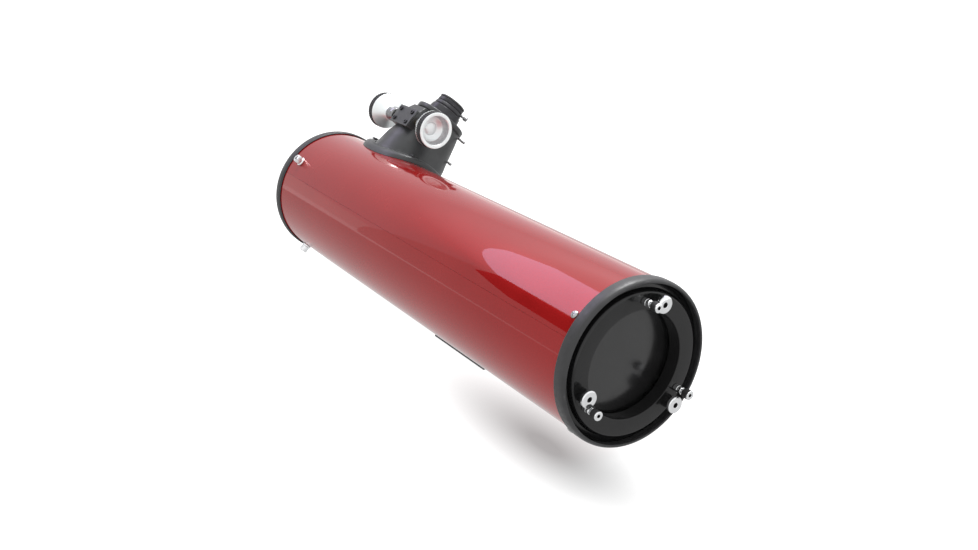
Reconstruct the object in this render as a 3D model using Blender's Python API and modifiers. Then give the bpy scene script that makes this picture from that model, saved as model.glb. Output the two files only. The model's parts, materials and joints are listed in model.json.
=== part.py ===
"""Newtonian reflector optical tube, 130 mm aperture and 650 mm focal length, lying on its dovetail bar.

The origin is the centre of the dovetail bar's flat face, +Y points to the sky end and +Z is up.
Places along the tube are distances ahead of the rear rim. Angles round the tube run from +X towards +Z.
"""

import math

import bmesh
import bpy
from mathutils import Matrix, Vector

MM = 0.001
GAP = 0.3 * MM  # left between pieces that touch in the real telescope
MERGE = 0.00001
HOLE_TURN = 7  # degrees that a drilled hole is turned by

# Tube and end rings.
AXIS_HEIGHT = 88.5 * MM
REAR_BEHIND_ORIGIN = 264 * MM
LENGTH = 617 * MM
TUBE_RADIUS = 77.5 * MM
TUBE_WALL = 1.0 * MM
RING_RADIUS = 79.5 * MM
RING_WIDTH = 12 * MM
RING_CREST = 1.5 * MM
RING_LIP = 75.4 * MM
RING_EASE = 2.2 * MM
TUBE_INSET = 3 * MM
QUARTER_ANGLES = (45, 135, 225, 315)
SIDES = 48

# Primary mirror and its cell.
MIRROR_RADIUS = 65 * MM
FOCAL_LENGTH = 650 * MM
MIRROR_BACK = 22 * MM
MIRROR_THICKNESS = 19 * MM
CELL_RADIUS = 69 * MM
CELL_BACK = 17 * MM
CELL_FRONT = 21.5 * MM
CELL_RIM = 66.2 * MM
OPENING_RADIUS = 51.3 * MM
COLLIMATION_RADIUS = 60 * MM
COLLIMATION_ANGLES = (71, 191, 311)
LOCK_OFFSET = 13.5
BOSS_HEIGHT = 8.3 * MM
CELL_SCREW_PLACE = 17 * MM

# Spider and secondary mirror.
SPIDER_PLACE = 583 * MM
VANE_WIDTH = 22 * MM
VANE_THICKNESS = 1 * MM
HUB_RADIUS = 16 * MM
HUB_LENGTH = 16 * MM
SECONDARY_RADIUS = 18.5 * MM
SECONDARY_THICKNESS = 7 * MM
HOLDER_RADIUS = 17.5 * MM
HOLDER_END = 552 * MM
STEM_RADIUS = 3 * MM
ADJUSTER_CIRCLE = 10 * MM
HOLDER_SIDES = 24

# Focuser, measured outward from the tube's axis.
FOCUSER_PLACE = 510 * MM
FOCUSER_ANGLE = 45
FLANGE_HALF_LENGTH = 62 * MM
FLANGE_HALF_WIDTH = 50 * MM
FLANGE_HEIGHT = 7 * MM
BELOW_FLANGE = 45 * MM  # inside the tube, where the saddle is cut away
ABOVE_FOCUSER = 160 * MM
HOUSING_TOP = 148.6 * MM
HOUSING_SIDES = 36
DRAWTUBE_SIDES = 28
DRAWTUBE_RADIUS = 22 * MM
DRAWTUBE_BORE = 20 * MM
DRAWTUBE_MOUTH = 18 * MM
DRAWTUBE_INNER_END = 68 * MM
DRAWTUBE_OUTER_END = 159.3 * MM
PINION_HEIGHT = 118.5 * MM
PINION_OFFSET = 35 * MM
PINION_PITCH_RADIUS = 6.5 * MM
PINION_TEETH = 13
GEAR_MODULE = 1 * MM
RACK_WIDTH = 10 * MM
SHAFT_RADIUS = 3 * MM
SHAFT_HALF_LENGTH = 52 * MM
COVER_LENGTH = 41 * MM
COVER_HEIGHT = 24.5 * MM
COVER_BACK = 43 * MM
COVER_THICKNESS = 2.2 * MM
COVER_SCREW_SPACING = (27.4 * MM, 14.2 * MM)
KNOB_RADIUS = 22 * MM
KNOB_BACK = 56 * MM
KNOB_FACE = 67 * MM
GRIP_SEAT = KNOB_RADIUS - 1.6 * MM
NECK_START = 29.5 * MM
EYEPIECE_BORE = 15.95 * MM
EYEPIECE_TOP = 171 * MM
EYEPIECE_SCREW_HEIGHT = 165 * MM
SIDE_SCREW_TURN = 45
FLANGE_SCREWS = (49 * MM, 20)

# Dovetail bar.
DOVETAIL_LENGTH = 100 * MM
DOVETAIL_FACE_WIDTH = 43 * MM
DOVETAIL_WAIST_WIDTH = 37 * MM
DOVETAIL_BOLTS = (-30 * MM, 30 * MM)

FINISHES = {
    "red_paint": ((0.33, 0.012, 0.016), 0.16, 0.35),
    "black_satin": ((0.028, 0.028, 0.03), 0.42, 0.0),
    "black_metal": ((0.02, 0.02, 0.022), 0.5, 0.4),
    "chrome": ((0.86, 0.87, 0.88), 0.12, 1.0),
    "steel": ((0.6, 0.6, 0.6), 0.3, 1.0),
    "black_screw": ((0.03, 0.03, 0.032), 0.35, 0.7),
    "rubber": ((0.018, 0.018, 0.019), 0.8, 0.0),
    "anodised": ((0.035, 0.035, 0.038), 0.38, 0.6),
    "brass": ((0.72, 0.52, 0.24), 0.3, 1.0),
    "mirror": ((0.93, 0.94, 0.95), 0.03, 1.0),
}

X_AXIS = Vector((1, 0, 0))
Y_AXIS = Vector((0, 1, 0))
Z_AXIS = Vector((0, 0, 1))
SKYWARD = Y_AXIS
REARWARD = -Y_AXIS


# ---- scene and frames ----


def clear_scene():
    for obj in list(bpy.data.objects):
        bpy.data.objects.remove(obj, do_unlink=True)


def new_collection(name):
    collection = bpy.data.collections.new(name)
    bpy.context.scene.collection.children.link(collection)
    return collection


def outward(angle):
    """The direction away from the tube's axis at an angle in degrees."""
    turn = math.radians(angle)
    return Vector((math.cos(turn), 0, math.sin(turn)))


def at(angle, radius, place):
    """The point at an angle and radius about the tube's axis, some way ahead of the rear rim."""
    on_axis = Vector((0, place - REAR_BEHIND_ORIGIN, AXIS_HEIGHT))
    return on_axis + radius * outward(angle)


def frame(origin, z_axis, x_axis):
    """The matrix of a local frame with this origin, Z axis and X axis."""
    y_axis = z_axis.cross(x_axis)
    turn = Matrix((x_axis, y_axis, z_axis)).transposed().to_4x4()
    return Matrix.Translation(origin) @ turn


AXIAL = frame(at(0, 0, 0), SKYWARD, X_AXIS)
# Focuser frame: X runs along the tube, Y towards the pinion and Z outward.
FOCUSER = frame(at(0, 0, FOCUSER_PLACE), outward(FOCUSER_ANGLE), SKYWARD)
PINION_AXIS = Vector((0, PINION_OFFSET, PINION_HEIGHT))


# ---- materials and objects ----


def give_material(obj, finish):
    colour, roughness, metallic = FINISHES[finish]
    material = bpy.data.materials.new(obj.name)
    material.use_nodes = True
    shader = material.node_tree.nodes["Principled BSDF"]
    shader.inputs["Base Color"].default_value = (*colour, 1)
    shader.inputs["Roughness"].default_value = roughness
    shader.inputs["Metallic"].default_value = metallic
    obj.data.materials.append(material)


def new_object(name, data, matrix, finish=None):
    """A part when it has a finish, and a cutter when it has none."""
    obj = bpy.data.objects.new(name, data)
    obj.matrix_world = matrix
    if finish is None:
        cutters.objects.link(obj)
        obj.hide_render = True
        obj.display_type = "WIRE"
    else:
        parts.objects.link(obj)
        give_material(obj, finish)
    return obj


def from_bmesh(name, shape, matrix, finish=None):
    mesh = bpy.data.meshes.new(name)
    shape.to_mesh(mesh)
    shape.free()
    return new_object(name, mesh, matrix, finish)


def turned(name, profile, matrix, finish=None, sides=SIDES):
    """A solid of revolution about local Z. The profile is (radius, height), down its outer side.

    It begins and ends on the axis, or is a closed loop when it doesn't begin there.
    """
    mesh = bpy.data.meshes.new(name)
    points = [(radius, 0, height) for radius, height in profile]
    edges = [(i, i + 1) for i in range(len(points) - 1)]
    if profile[0][0] > 0:
        edges.append((len(points) - 1, 0))
    mesh.from_pydata(points, edges, [])
    obj = new_object(name, mesh, matrix, finish)
    screw = obj.modifiers.new("Turn", "SCREW")
    screw.axis = "Z"
    screw.steps = sides
    screw.render_steps = sides
    screw.use_merge_vertices = True
    screw.merge_threshold = MERGE
    screw.use_smooth_shade = True
    return obj


def cylinder(name, radius, bottom, top, matrix, finish=None, sides=16):
    profile = [(0, top), (radius, top), (radius, bottom), (0, bottom)]
    return turned(name, profile, matrix, finish, sides)


def box(name, low, high, matrix, finish=None):
    shape = bmesh.new()
    bmesh.ops.create_cube(shape, size=1)
    low, high = Vector(low), Vector(high)
    size = high - low
    bmesh.ops.scale(shape, vec=size, verts=shape.verts)
    bmesh.ops.translate(shape, vec=(low + high) / 2, verts=shape.verts)
    return from_bmesh(name, shape, matrix, finish)


def loft(name, rings, matrix, finish=None):
    """A solid skinned over rings of equal point counts, bottom to top, each anticlockwise about Z."""
    shape = bmesh.new()
    loops = [[shape.verts.new(point) for point in ring] for ring in rings]
    count = len(rings[0])
    for lower, upper in zip(loops, loops[1:]):
        for i in range(count):
            j = (i + 1) % count
            shape.faces.new((lower[i], lower[j], upper[j], upper[i]))
    shape.faces.new(reversed(loops[0]))
    shape.faces.new(loops[-1])
    for face in shape.faces:
        face.smooth = len(face.verts) == 4
    return from_bmesh(name, shape, matrix, finish)


def extruded(name, outline, low, high, matrix, finish=None):
    """A flat outline, anticlockwise about Z, stretched from low to high."""
    rings = [[(x, y, height) for x, y in outline] for height in (low, high)]
    return loft(name, rings, matrix, finish)


def boolean(obj, other, operation):
    modifier = obj.modifiers.new(f"{operation.title()} {other.name}", "BOOLEAN")
    modifier.operation = operation
    modifier.solver = "EXACT"
    modifier.object = other


def cut(obj, *others):
    for other in others:
        boolean(obj, other, "DIFFERENCE")


def fuse(obj, *others):
    for other in others:
        boolean(obj, other, "UNION")


def soften(obj, width, segments=2):
    bevel = obj.modifiers.new("Soften", "BEVEL")
    bevel.width = width
    bevel.segments = segments
    bevel.limit_method = "ANGLE"


def drill(obj, name, radius, bottom, top, matrix, sides=10):
    """A round hole. It is turned a little, so that none of its edges lies on an edge of the wall."""
    askew = matrix @ Matrix.Rotation(math.radians(HOLE_TURN), 4, "Z")
    cut(obj, cylinder(f"{name}_hole", radius, bottom, top, askew, sides=sides))


def circle(radius, height, count):
    turns = [2 * math.pi * i / count for i in range(count)]
    return [(radius * math.cos(t), radius * math.sin(t), height) for t in turns]


# ---- fasteners ----


def pan_head_screw(name, matrix, length, shank=1.9 * MM, head=3.7 * MM, height=2.3 * MM, finish="steel"):
    """A screw whose head rests at local height 0, with a small driver recess."""
    profile = [
        (0, height * 0.45),
        (head * 0.3, height * 0.45),
        (head * 0.36, height),
        (head * 0.7, height * 0.86),
        (head, height * 0.35),
        (head, GAP),
        (shank, GAP),
        (shank, -length),
        (0, -length),
    ]
    return turned(name, profile, matrix, finish, sides=8)


def thumbscrew(name, matrix, length, head, neck, height, shank):
    """A small screw with a narrow neck, standing outward from local height 0."""
    profile = [
        (0, height),
        (head, height),
        (head, height * 0.5),
        (neck, height * 0.4),
        (neck, GAP),
        (shank, GAP),
        (shank, -length),
        (0, -length),
    ]
    return turned(name, profile, matrix, "chrome", sides=10)


# ---- tube ----


def build_tube():
    ends = LENGTH - TUBE_INSET, TUBE_INSET
    inner = TUBE_RADIUS - TUBE_WALL
    profile = [(TUBE_RADIUS, ends[0]), (TUBE_RADIUS, ends[1]), (inner, ends[1]), (inner, ends[0])]
    return turned("tube", profile, AXIAL, "red_paint")


def ring_profile():
    """An end ring's section, with its open side up and its flat crest down."""
    skirt = TUBE_RADIUS + GAP
    return [
        (skirt, RING_WIDTH),
        (RING_RADIUS, RING_WIDTH),
        (RING_RADIUS, 2 * MM),
        (RING_RADIUS - RING_EASE, -RING_CREST),
        (RING_LIP + 0.4 * MM, -RING_CREST),
        (RING_LIP, TUBE_INSET - GAP),
        (skirt, TUBE_INSET - GAP),
    ]


def build_end_rings():
    front = frame(at(0, 0, LENGTH), REARWARD, X_AXIS)
    turned("front_ring", ring_profile(), front, "black_satin")
    turned("rear_ring", ring_profile(), AXIAL, "black_satin")


# ---- primary mirror cell ----


def rear_screw_frame(angle):
    """A frame on the back plate's face, with Z pointing to the rear."""
    return frame(at(angle, COLLIMATION_RADIUS, 0), REARWARD, X_AXIS)


def build_back_plate():
    """A spun disc: a flat face with a groove outside it, a round opening, and a skirt inside the tube."""
    skirt = TUBE_RADIUS - TUBE_WALL - GAP
    skirt_end = 24 * MM
    lip_end = 14.5 * MM
    sheet = 3.5 * MM
    profile = [
        (skirt, skirt_end),
        (skirt, 7.2 * MM),
        (69.4 * MM, 6 * MM),
        (68.4 * MM, 1.4 * MM),
        (67 * MM, 0),
        (OPENING_RADIUS, 0),
        (OPENING_RADIUS, lip_end),
        (OPENING_RADIUS + 2.2 * MM, lip_end),
        (OPENING_RADIUS + 2.2 * MM, sheet),
        (66.6 * MM, sheet),
        (68 * MM, 8.6 * MM),
        (skirt - 2.5 * MM, 10 * MM),
        (skirt - 2.5 * MM, skirt_end),
    ]
    plate = turned("back_plate", profile, AXIAL, "black_satin", sides=40)
    for number, angle in enumerate(COLLIMATION_ANGLES, 1):
        seat = rear_screw_frame(angle)
        lock_seat = rear_screw_frame(angle + LOCK_OFFSET)
        fuse(plate, turned(f"boss_{number}", boss_profile(), seat, sides=14))
        drill(plate, f"stud_{number}", 2.9 * MM, -9 * MM, BOSS_HEIGHT + 1 * MM, seat)
        drill(plate, f"lock_{number}", 2.3 * MM, -9 * MM, 2 * MM, lock_seat)
    return plate


def boss_profile():
    """The raised boss that a collimation screw's disc stands on, sunk a little into the plate."""
    foot = -1.5 * MM
    return [
        (0, BOSS_HEIGHT),
        (5 * MM, BOSS_HEIGHT),
        (6 * MM, BOSS_HEIGHT - 1 * MM),
        (6.4 * MM, foot),
        (0, foot),
    ]


def build_mirror_cell():
    rim_top = MIRROR_BACK + MIRROR_THICKNESS
    profile = [
        (0, CELL_FRONT),
        (CELL_RIM, CELL_FRONT),
        (CELL_RIM, rim_top),
        (CELL_RADIUS, rim_top),
        (CELL_RADIUS, CELL_BACK + 2 * MM),
        (CELL_RADIUS - 2 * MM, CELL_BACK),
        (0, CELL_BACK),
    ]
    cell = turned("mirror_cell", profile, AXIAL, "black_metal", sides=40)
    for number, angle in enumerate(COLLIMATION_ANGLES, 1):
        drill(cell, f"cell_stud_{number}", 2.7 * MM, -30 * MM, -10 * MM, rear_screw_frame(angle))


def build_primary_mirror():
    front_edge = MIRROR_BACK + MIRROR_THICKNESS

    def height(radius):
        """The paraboloid's surface, which meets the mirror's edge at its full thickness."""
        return front_edge - (MIRROR_RADIUS**2 - radius**2) / (4 * FOCAL_LENGTH)

    chamfer = 0.8 * MM
    rim = MIRROR_RADIUS - chamfer
    steps = 3
    surface = [(rim * step / steps, height(rim * step / steps)) for step in range(steps + 1)]
    edge = [(MIRROR_RADIUS, front_edge - chamfer), (MIRROR_RADIUS, MIRROR_BACK), (0, MIRROR_BACK)]
    turned("primary_mirror", surface + edge, AXIAL, "mirror", sides=40)


def build_mirror_clips():
    top_of_mirror = MIRROR_BACK + MIRROR_THICKNESS + GAP
    for number, angle in enumerate(COLLIMATION_ANGLES, 1):
        seat = frame(at(angle, 0, top_of_mirror), SKYWARD, outward(angle))
        low = (MIRROR_RADIUS - 3.5 * MM, -5 * MM, 0)
        high = (CELL_RADIUS, 5 * MM, 1.4 * MM)
        box(f"mirror_clip_{number}", low, high, seat, "black_metal")


def collimation_profile():
    """A thumbscrew with a wide disc, whose stud ends inside the mirror cell's back."""
    face = 12.5 * MM
    disc = BOSS_HEIGHT + GAP
    disc_radius = 8.1 * MM
    socket = 1.9 * MM
    socket_floor = face - 2.4 * MM
    stud = 2.1 * MM
    tip = -CELL_FRONT + 0.6 * MM
    return [
        (0, socket_floor),
        (socket, socket_floor),
        (socket, face),
        (disc_radius - 0.9 * MM, face),
        (disc_radius, face - 0.8 * MM),
        (disc_radius, disc + 0.7 * MM),
        (disc_radius - 0.7 * MM, disc),
        (stud, disc),
        (stud, tip),
        (0, tip),
    ]


def lock_profile():
    """A tall thumbscrew: a foot, a waist and a knurled head, with its tip just behind the mirror cell."""
    face = 20 * MM
    head = 4.5 * MM
    socket = 1.2 * MM
    socket_floor = face - 2 * MM
    stud = 1.95 * MM
    tip = -CELL_BACK + 1.3 * MM
    return [
        (0, socket_floor),
        (socket, socket_floor),
        (socket, face),
        (head - 0.7 * MM, face),
        (head, face - 0.8 * MM),
        (head, 12.2 * MM),
        (2.4 * MM, 11.8 * MM),
        (2.4 * MM, 10.2 * MM),
        (3.5 * MM, 9.8 * MM),
        (3.5 * MM, GAP),
        (stud, GAP),
        (stud, tip),
        (0, tip),
    ]


def coil(name, matrix, radius, bottom, top, turns, wire, finish):
    """An open compression spring about local Z."""
    steps = 8  # points in one turn
    count = round(turns * steps) + 1
    curve = bpy.data.curves.new(name, "CURVE")
    curve.dimensions = "3D"
    spline = curve.splines.new("POLY")
    spline.points.add(count - 1)
    for i, point in enumerate(spline.points):
        turn = 2 * math.pi * i / steps
        height = bottom + (top - bottom) * i / (count - 1)
        point.co = (radius * math.cos(turn), radius * math.sin(turn), height, 1)
    curve.bevel_depth = wire
    curve.bevel_resolution = 0
    curve.use_fill_caps = True
    return new_object(name, curve, matrix, finish)


def build_collimation():
    for number, angle in enumerate(COLLIMATION_ANGLES, 1):
        seat = rear_screw_frame(angle)
        lock_seat = rear_screw_frame(angle + LOCK_OFFSET)
        turned(f"collimation_screw_{number}", collimation_profile(), seat, "chrome", sides=16)
        turned(f"lock_screw_{number}", lock_profile(), lock_seat, "chrome", sides=10)
        coil(f"collimation_spring_{number}", seat, 3.9 * MM, -15 * MM, -5 * MM, 3.5, 0.6 * MM, "steel")


def build_cell_screws(tube, plate):
    for number, angle in enumerate(QUARTER_ANGLES, 1):
        seat = frame(at(angle, TUBE_RADIUS, CELL_SCREW_PLACE), outward(angle), SKYWARD)
        name = f"cell_screw_{number}"
        pan_head_screw(name, seat, 4.5 * MM)
        drill(tube, name, 2.3 * MM, -3 * MM, 3 * MM, seat)
        drill(plate, f"{name}_thread", 2.3 * MM, -6 * MM, 0, seat)


# ---- spider and secondary mirror ----


def build_spider(tube):
    half = HUB_LENGTH / 2
    bore = STEM_RADIUS + 0.4 * MM
    chamfer = 1 * MM
    profile = [
        (HUB_RADIUS - chamfer, half),
        (HUB_RADIUS, half - chamfer),
        (HUB_RADIUS, -half),
        (bore, -half),
        (bore, half),
    ]
    middle = frame(at(0, 0, SPIDER_PLACE), SKYWARD, X_AXIS)
    hub = turned("spider_hub", profile, middle, "black_metal", sides=24)
    for number, angle in enumerate(QUARTER_ANGLES, 1):
        build_vane(number, angle, tube)
    for number in range(1, 4):
        angle = 90 + 120 * number
        seat = frame(at(angle, ADJUSTER_CIRCLE, SPIDER_PLACE + half), SKYWARD, X_AXIS)
        name = f"secondary_adjuster_{number}"
        length = SPIDER_PLACE + half - HOLDER_END - 0.5 * MM
        pan_head_screw(name, seat, length, shank=1.6 * MM, head=2.7 * MM, height=2.4 * MM)
        drill(hub, name, 2 * MM, -HUB_LENGTH - 1 * MM, 1 * MM, seat)


def build_vane(number, angle, tube):
    """A flat strip from the hub to the tube, with a stud through the wall and a nut outside."""
    seat = frame(at(angle, 0, SPIDER_PLACE), outward(angle), SKYWARD)
    low = (-VANE_WIDTH / 2, -VANE_THICKNESS / 2, HUB_RADIUS + GAP)
    high = (VANE_WIDTH / 2, VANE_THICKNESS / 2, TUBE_RADIUS - TUBE_WALL - GAP)
    vane = box(f"spider_vane_{number}", low, high, seat, "black_metal")
    stud_ends = TUBE_RADIUS - 6.5 * MM, TUBE_RADIUS + 8.5 * MM
    stud = cylinder(f"vane_stud_{number}", 1.9 * MM, *stud_ends, seat, sides=10)
    fuse(vane, stud)
    drill(tube, f"vane_{number}", 2.3 * MM, *stud_ends, seat)
    build_spider_nut(number, seat)


def build_spider_nut(number, seat):
    """A round thumb nut with a flange, standing on the tube."""
    foot = TUBE_RADIUS + GAP
    profile = [
        (4.2 * MM, foot + 9.4 * MM),
        (4.9 * MM, foot + 8.7 * MM),
        (4.9 * MM, foot + 2.6 * MM),
        (5.8 * MM, foot + 2.2 * MM),
        (5.8 * MM, foot),
        (2.3 * MM, foot),
        (2.3 * MM, foot + 9.4 * MM),
    ]
    turned(f"spider_nut_{number}", profile, seat, "chrome", sides=12)


def slanted_ring(radius, offset, count=HOLDER_SIDES):
    """The tube-parallel circle's meeting with the 45 degree mirror plane, moved skyward by offset.

    The ring is in a frame with Z along the tube and X towards the focuser.
    """
    return [(x, y, x + offset) for x, y, _ in circle(radius, 0, count)]


def build_secondary():
    centre = frame(at(0, 0, FOCUSER_PLACE), SKYWARD, outward(FOCUSER_ANGLE))
    end = HOLDER_END - FOCUSER_PLACE
    stem_end = SPIDER_PLACE + HUB_LENGTH / 2 - FOCUSER_PLACE
    head = 4.6 * MM
    loft(
        "secondary_mirror",
        [slanted_ring(SECONDARY_RADIUS, 0), slanted_ring(SECONDARY_RADIUS, SECONDARY_THICKNESS)],
        centre,
        "mirror",
    )
    loft(
        "secondary_holder",
        [
            slanted_ring(HOLDER_RADIUS, SECONDARY_THICKNESS + GAP),
            circle(HOLDER_RADIUS, end, HOLDER_SIDES),
            circle(STEM_RADIUS, end + 0.2 * MM, HOLDER_SIDES),
            circle(STEM_RADIUS, stem_end + GAP, HOLDER_SIDES),
            circle(head, stem_end + 2 * GAP, HOLDER_SIDES),
            circle(head, stem_end + 4 * MM, HOLDER_SIDES),
        ],
        centre,
        "black_metal",
    )


# ---- focuser ----


def rounded_outline(half_length, half_width, count=HOUSING_SIDES, power=2.6):
    """A superellipse, as (x, y) anticlockwise."""
    points = []
    for i in range(count):
        turn = 2 * math.pi * i / count
        c, s = math.cos(turn), math.sin(turn)
        x = half_length * math.copysign(abs(c) ** (2 / power), c)
        y = half_width * math.copysign(abs(s) ** (2 / power), s)
        points.append((x, y))
    return points


def wrapped(outline, radius):
    """The outline laid on a cylinder about the tube's axis."""
    return [(x, y, math.sqrt(radius**2 - y**2)) for x, y in outline]


def housing_rings():
    """The casting's outside, ring by ring: the flange, the tapered body and the top collar."""
    chamfer = 1.8 * MM
    flange_top = TUBE_RADIUS + FLANGE_HEIGHT
    flange = rounded_outline(FLANGE_HALF_LENGTH, FLANGE_HALF_WIDTH)
    edge = rounded_outline(FLANGE_HALF_LENGTH - chamfer, FLANGE_HALF_WIDTH - chamfer)
    foot = [(x, y) for x, y, _ in circle(46.5 * MM, 0, HOUSING_SIDES)]
    top = HOUSING_TOP / MM
    body = (
        (43, 95),
        (38.6, 113),
        (34.6, 131),
        (32, top - 7),
        (32, top - 6.2),
        (33.5, top - 5.8),
        (33.5, top - 1),
        (32.5, top),
    )
    return [
        [(x, y, BELOW_FLANGE) for x, y in flange],
        wrapped(flange, flange_top - chamfer),
        wrapped(edge, flange_top),
        wrapped(foot, flange_top + 0.4 * MM),
        *(circle(radius * MM, height * MM, HOUSING_SIDES) for radius, height in body),
    ]


def build_focuser_housing():
    """One casting: saddle flange, tapered body, top collar and pinion block."""
    housing = loft("focuser_housing", housing_rings(), FOCUSER, "black_satin")
    inset = 0.4 * MM
    half_length = COVER_LENGTH / 2 - inset
    half_height = COVER_HEIGHT / 2 - inset
    low = (-half_length, 5 * MM, PINION_HEIGHT - half_height)
    high = (half_length, COVER_BACK - GAP, PINION_HEIGHT + half_height)
    fuse(housing, box("pinion_block", low, high, FOCUSER))
    ends = FOCUSER_PLACE - 1.5 * FLANGE_HALF_LENGTH, FOCUSER_PLACE + 1.5 * FLANGE_HALF_LENGTH
    cut(housing, cylinder("saddle", TUBE_RADIUS + GAP, *ends, AXIAL, sides=SIDES))
    bore = DRAWTUBE_RADIUS + 0.4 * MM
    drill(housing, "drawtube", bore, BELOW_FLANGE - 5 * MM, ABOVE_FOCUSER, FOCUSER, sides=DRAWTUBE_SIDES)
    cut(housing, rack_slot(), pinion_pocket())
    drill(housing, "shaft", SHAFT_RADIUS + GAP, -30 * MM, 30 * MM, shaft_frame(), sides=14)
    return housing


def rack_slot():
    half = RACK_WIDTH / 2 + 0.5 * MM
    depth = PINION_OFFSET - PINION_PITCH_RADIUS + 1.6 * MM
    return box("rack_slot", (-half, 0, BELOW_FLANGE - 5 * MM), (half, depth, ABOVE_FOCUSER), FOCUSER)


def pinion_pocket():
    reach = PINION_PITCH_RADIUS + GEAR_MODULE + 0.6 * MM
    half = RACK_WIDTH / 2 + 1.2 * MM
    low = (-half, 10 * MM, PINION_HEIGHT - reach)
    return box("pinion_pocket", low, (half, COVER_BACK + 5 * MM, PINION_HEIGHT + reach), FOCUSER)


def shaft_frame():
    """A frame on the pinion shaft, with Z running rearward along it."""
    return frame(FOCUSER @ PINION_AXIS, REARWARD, outward(FOCUSER_ANGLE))


def rack_outline():
    """The rack's section along the drawtube, as (distance along, height above the drawtube's axis)."""
    pitch = math.pi * GEAR_MODULE
    pitch_line = PINION_OFFSET - PINION_PITCH_RADIUS
    root = pitch_line - 1.25 * GEAR_MODULE
    tip = pitch_line + 0.85 * GEAR_MODULE
    base = DRAWTUBE_RADIUS - 1.5 * MM
    first = -11
    last = 6
    points = [(first * pitch - pitch / 2, base), (last * pitch + pitch / 2, base)]
    for tooth in range(last, first - 1, -1):
        centre = tooth * pitch
        points += [
            (centre + 0.95 * MM, root),
            (centre + 0.27 * MM, tip),
            (centre - 0.27 * MM, tip),
            (centre - 0.95 * MM, root),
        ]
    return points


def build_drawtube():
    shoulder = HOUSING_TOP + 0.7 * MM
    profile = [
        (DRAWTUBE_RADIUS - 2.4 * MM, DRAWTUBE_OUTER_END),
        (DRAWTUBE_RADIUS - 2 * MM, DRAWTUBE_OUTER_END - 0.4 * MM),
        (DRAWTUBE_RADIUS - 0.5 * MM, shoulder + 1.6 * MM),
        (DRAWTUBE_RADIUS - 1 * MM, shoulder + 1 * MM),
        (DRAWTUBE_RADIUS - 1 * MM, shoulder + 0.4 * MM),
        (DRAWTUBE_RADIUS, shoulder),
        (DRAWTUBE_RADIUS, DRAWTUBE_INNER_END),
        (DRAWTUBE_BORE, DRAWTUBE_INNER_END),
        (DRAWTUBE_BORE, shoulder),
        (DRAWTUBE_MOUTH, shoulder),
        (DRAWTUBE_MOUTH, DRAWTUBE_OUTER_END),
    ]
    drawtube = turned("drawtube", profile, FOCUSER, "anodised", sides=DRAWTUBE_SIDES)
    # The rack's outline lies in the plane of the focuser's Z and Y, and is stretched along its X.
    rack_frame = FOCUSER @ frame(Vector((0, 0, PINION_HEIGHT)), -X_AXIS, Z_AXIS)
    half = RACK_WIDTH / 2
    fuse(drawtube, extruded("rack", rack_outline(), -half, half, rack_frame))


def gear_outline():
    """The pinion's section. A space, not a tooth, faces the rack at rest."""
    points = []
    towards_rack = -math.pi / 2
    step = 2 * math.pi / PINION_TEETH
    flanks = (
        (-0.92 * MM, PINION_PITCH_RADIUS - 1.25 * GEAR_MODULE),
        (-0.26 * MM, PINION_PITCH_RADIUS + 0.85 * GEAR_MODULE),
        (0.26 * MM, PINION_PITCH_RADIUS + 0.85 * GEAR_MODULE),
        (0.92 * MM, PINION_PITCH_RADIUS - 1.25 * GEAR_MODULE),
    )
    for tooth in range(PINION_TEETH):
        turn = towards_rack + (tooth + 0.5) * step
        for across, radius in flanks:
            x = radius * math.cos(turn) - across * math.sin(turn)
            y = radius * math.sin(turn) + across * math.cos(turn)
            points.append((x, y))
    return points


def build_pinion():
    half = RACK_WIDTH / 2 + 0.4 * MM
    gear = extruded("pinion_shaft", gear_outline(), -half, half, shaft_frame(), "brass")
    ends = -SHAFT_HALF_LENGTH, SHAFT_HALF_LENGTH
    fuse(gear, cylinder("shaft", SHAFT_RADIUS, *ends, shaft_frame(), sides=14))


def knob_profile():
    """A deep chromed cup with a hub on its floor, and a long neck down to the pinion block."""
    neck = 9.6 * MM
    bore = SHAFT_RADIUS + GAP
    bore_end = SHAFT_HALF_LENGTH + 0.4 * MM
    return [
        (0, KNOB_FACE - 12.4 * MM),
        (7 * MM, KNOB_FACE - 13 * MM),
        (11 * MM, KNOB_FACE - 13.2 * MM),
        (17 * MM, KNOB_FACE - 7.5 * MM),
        (18 * MM, KNOB_FACE),
        (KNOB_RADIUS - 0.3 * MM, KNOB_FACE),
        (GRIP_SEAT, KNOB_FACE - 0.8 * MM),
        (GRIP_SEAT, KNOB_BACK + 2.2 * MM),
        (KNOB_RADIUS, KNOB_BACK + 1.9 * MM),
        (KNOB_RADIUS - 1 * MM, KNOB_BACK),
        (13.2 * MM, KNOB_BACK - 6 * MM),
        (neck, KNOB_BACK - 12 * MM),
        (neck, NECK_START),
        (bore, NECK_START),
        (bore, bore_end),
        (0, bore_end),
    ]


def grip_profile():
    inner = GRIP_SEAT + 0.2 * MM
    low = KNOB_BACK + 2.5 * MM
    high = KNOB_FACE - 1.1 * MM
    return [(KNOB_RADIUS, high), (KNOB_RADIUS, low), (inner, low), (inner, high)]


def build_knobs():
    axis = FOCUSER @ PINION_AXIS
    for side, direction in (("near", REARWARD), ("far", SKYWARD)):
        seat = frame(axis, direction, outward(FOCUSER_ANGLE))
        turned(f"focus_knob_{side}", knob_profile(), seat, "chrome", sides=24)
        turned(f"knob_grip_{side}", grip_profile(), seat, "rubber", sides=24)


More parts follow.
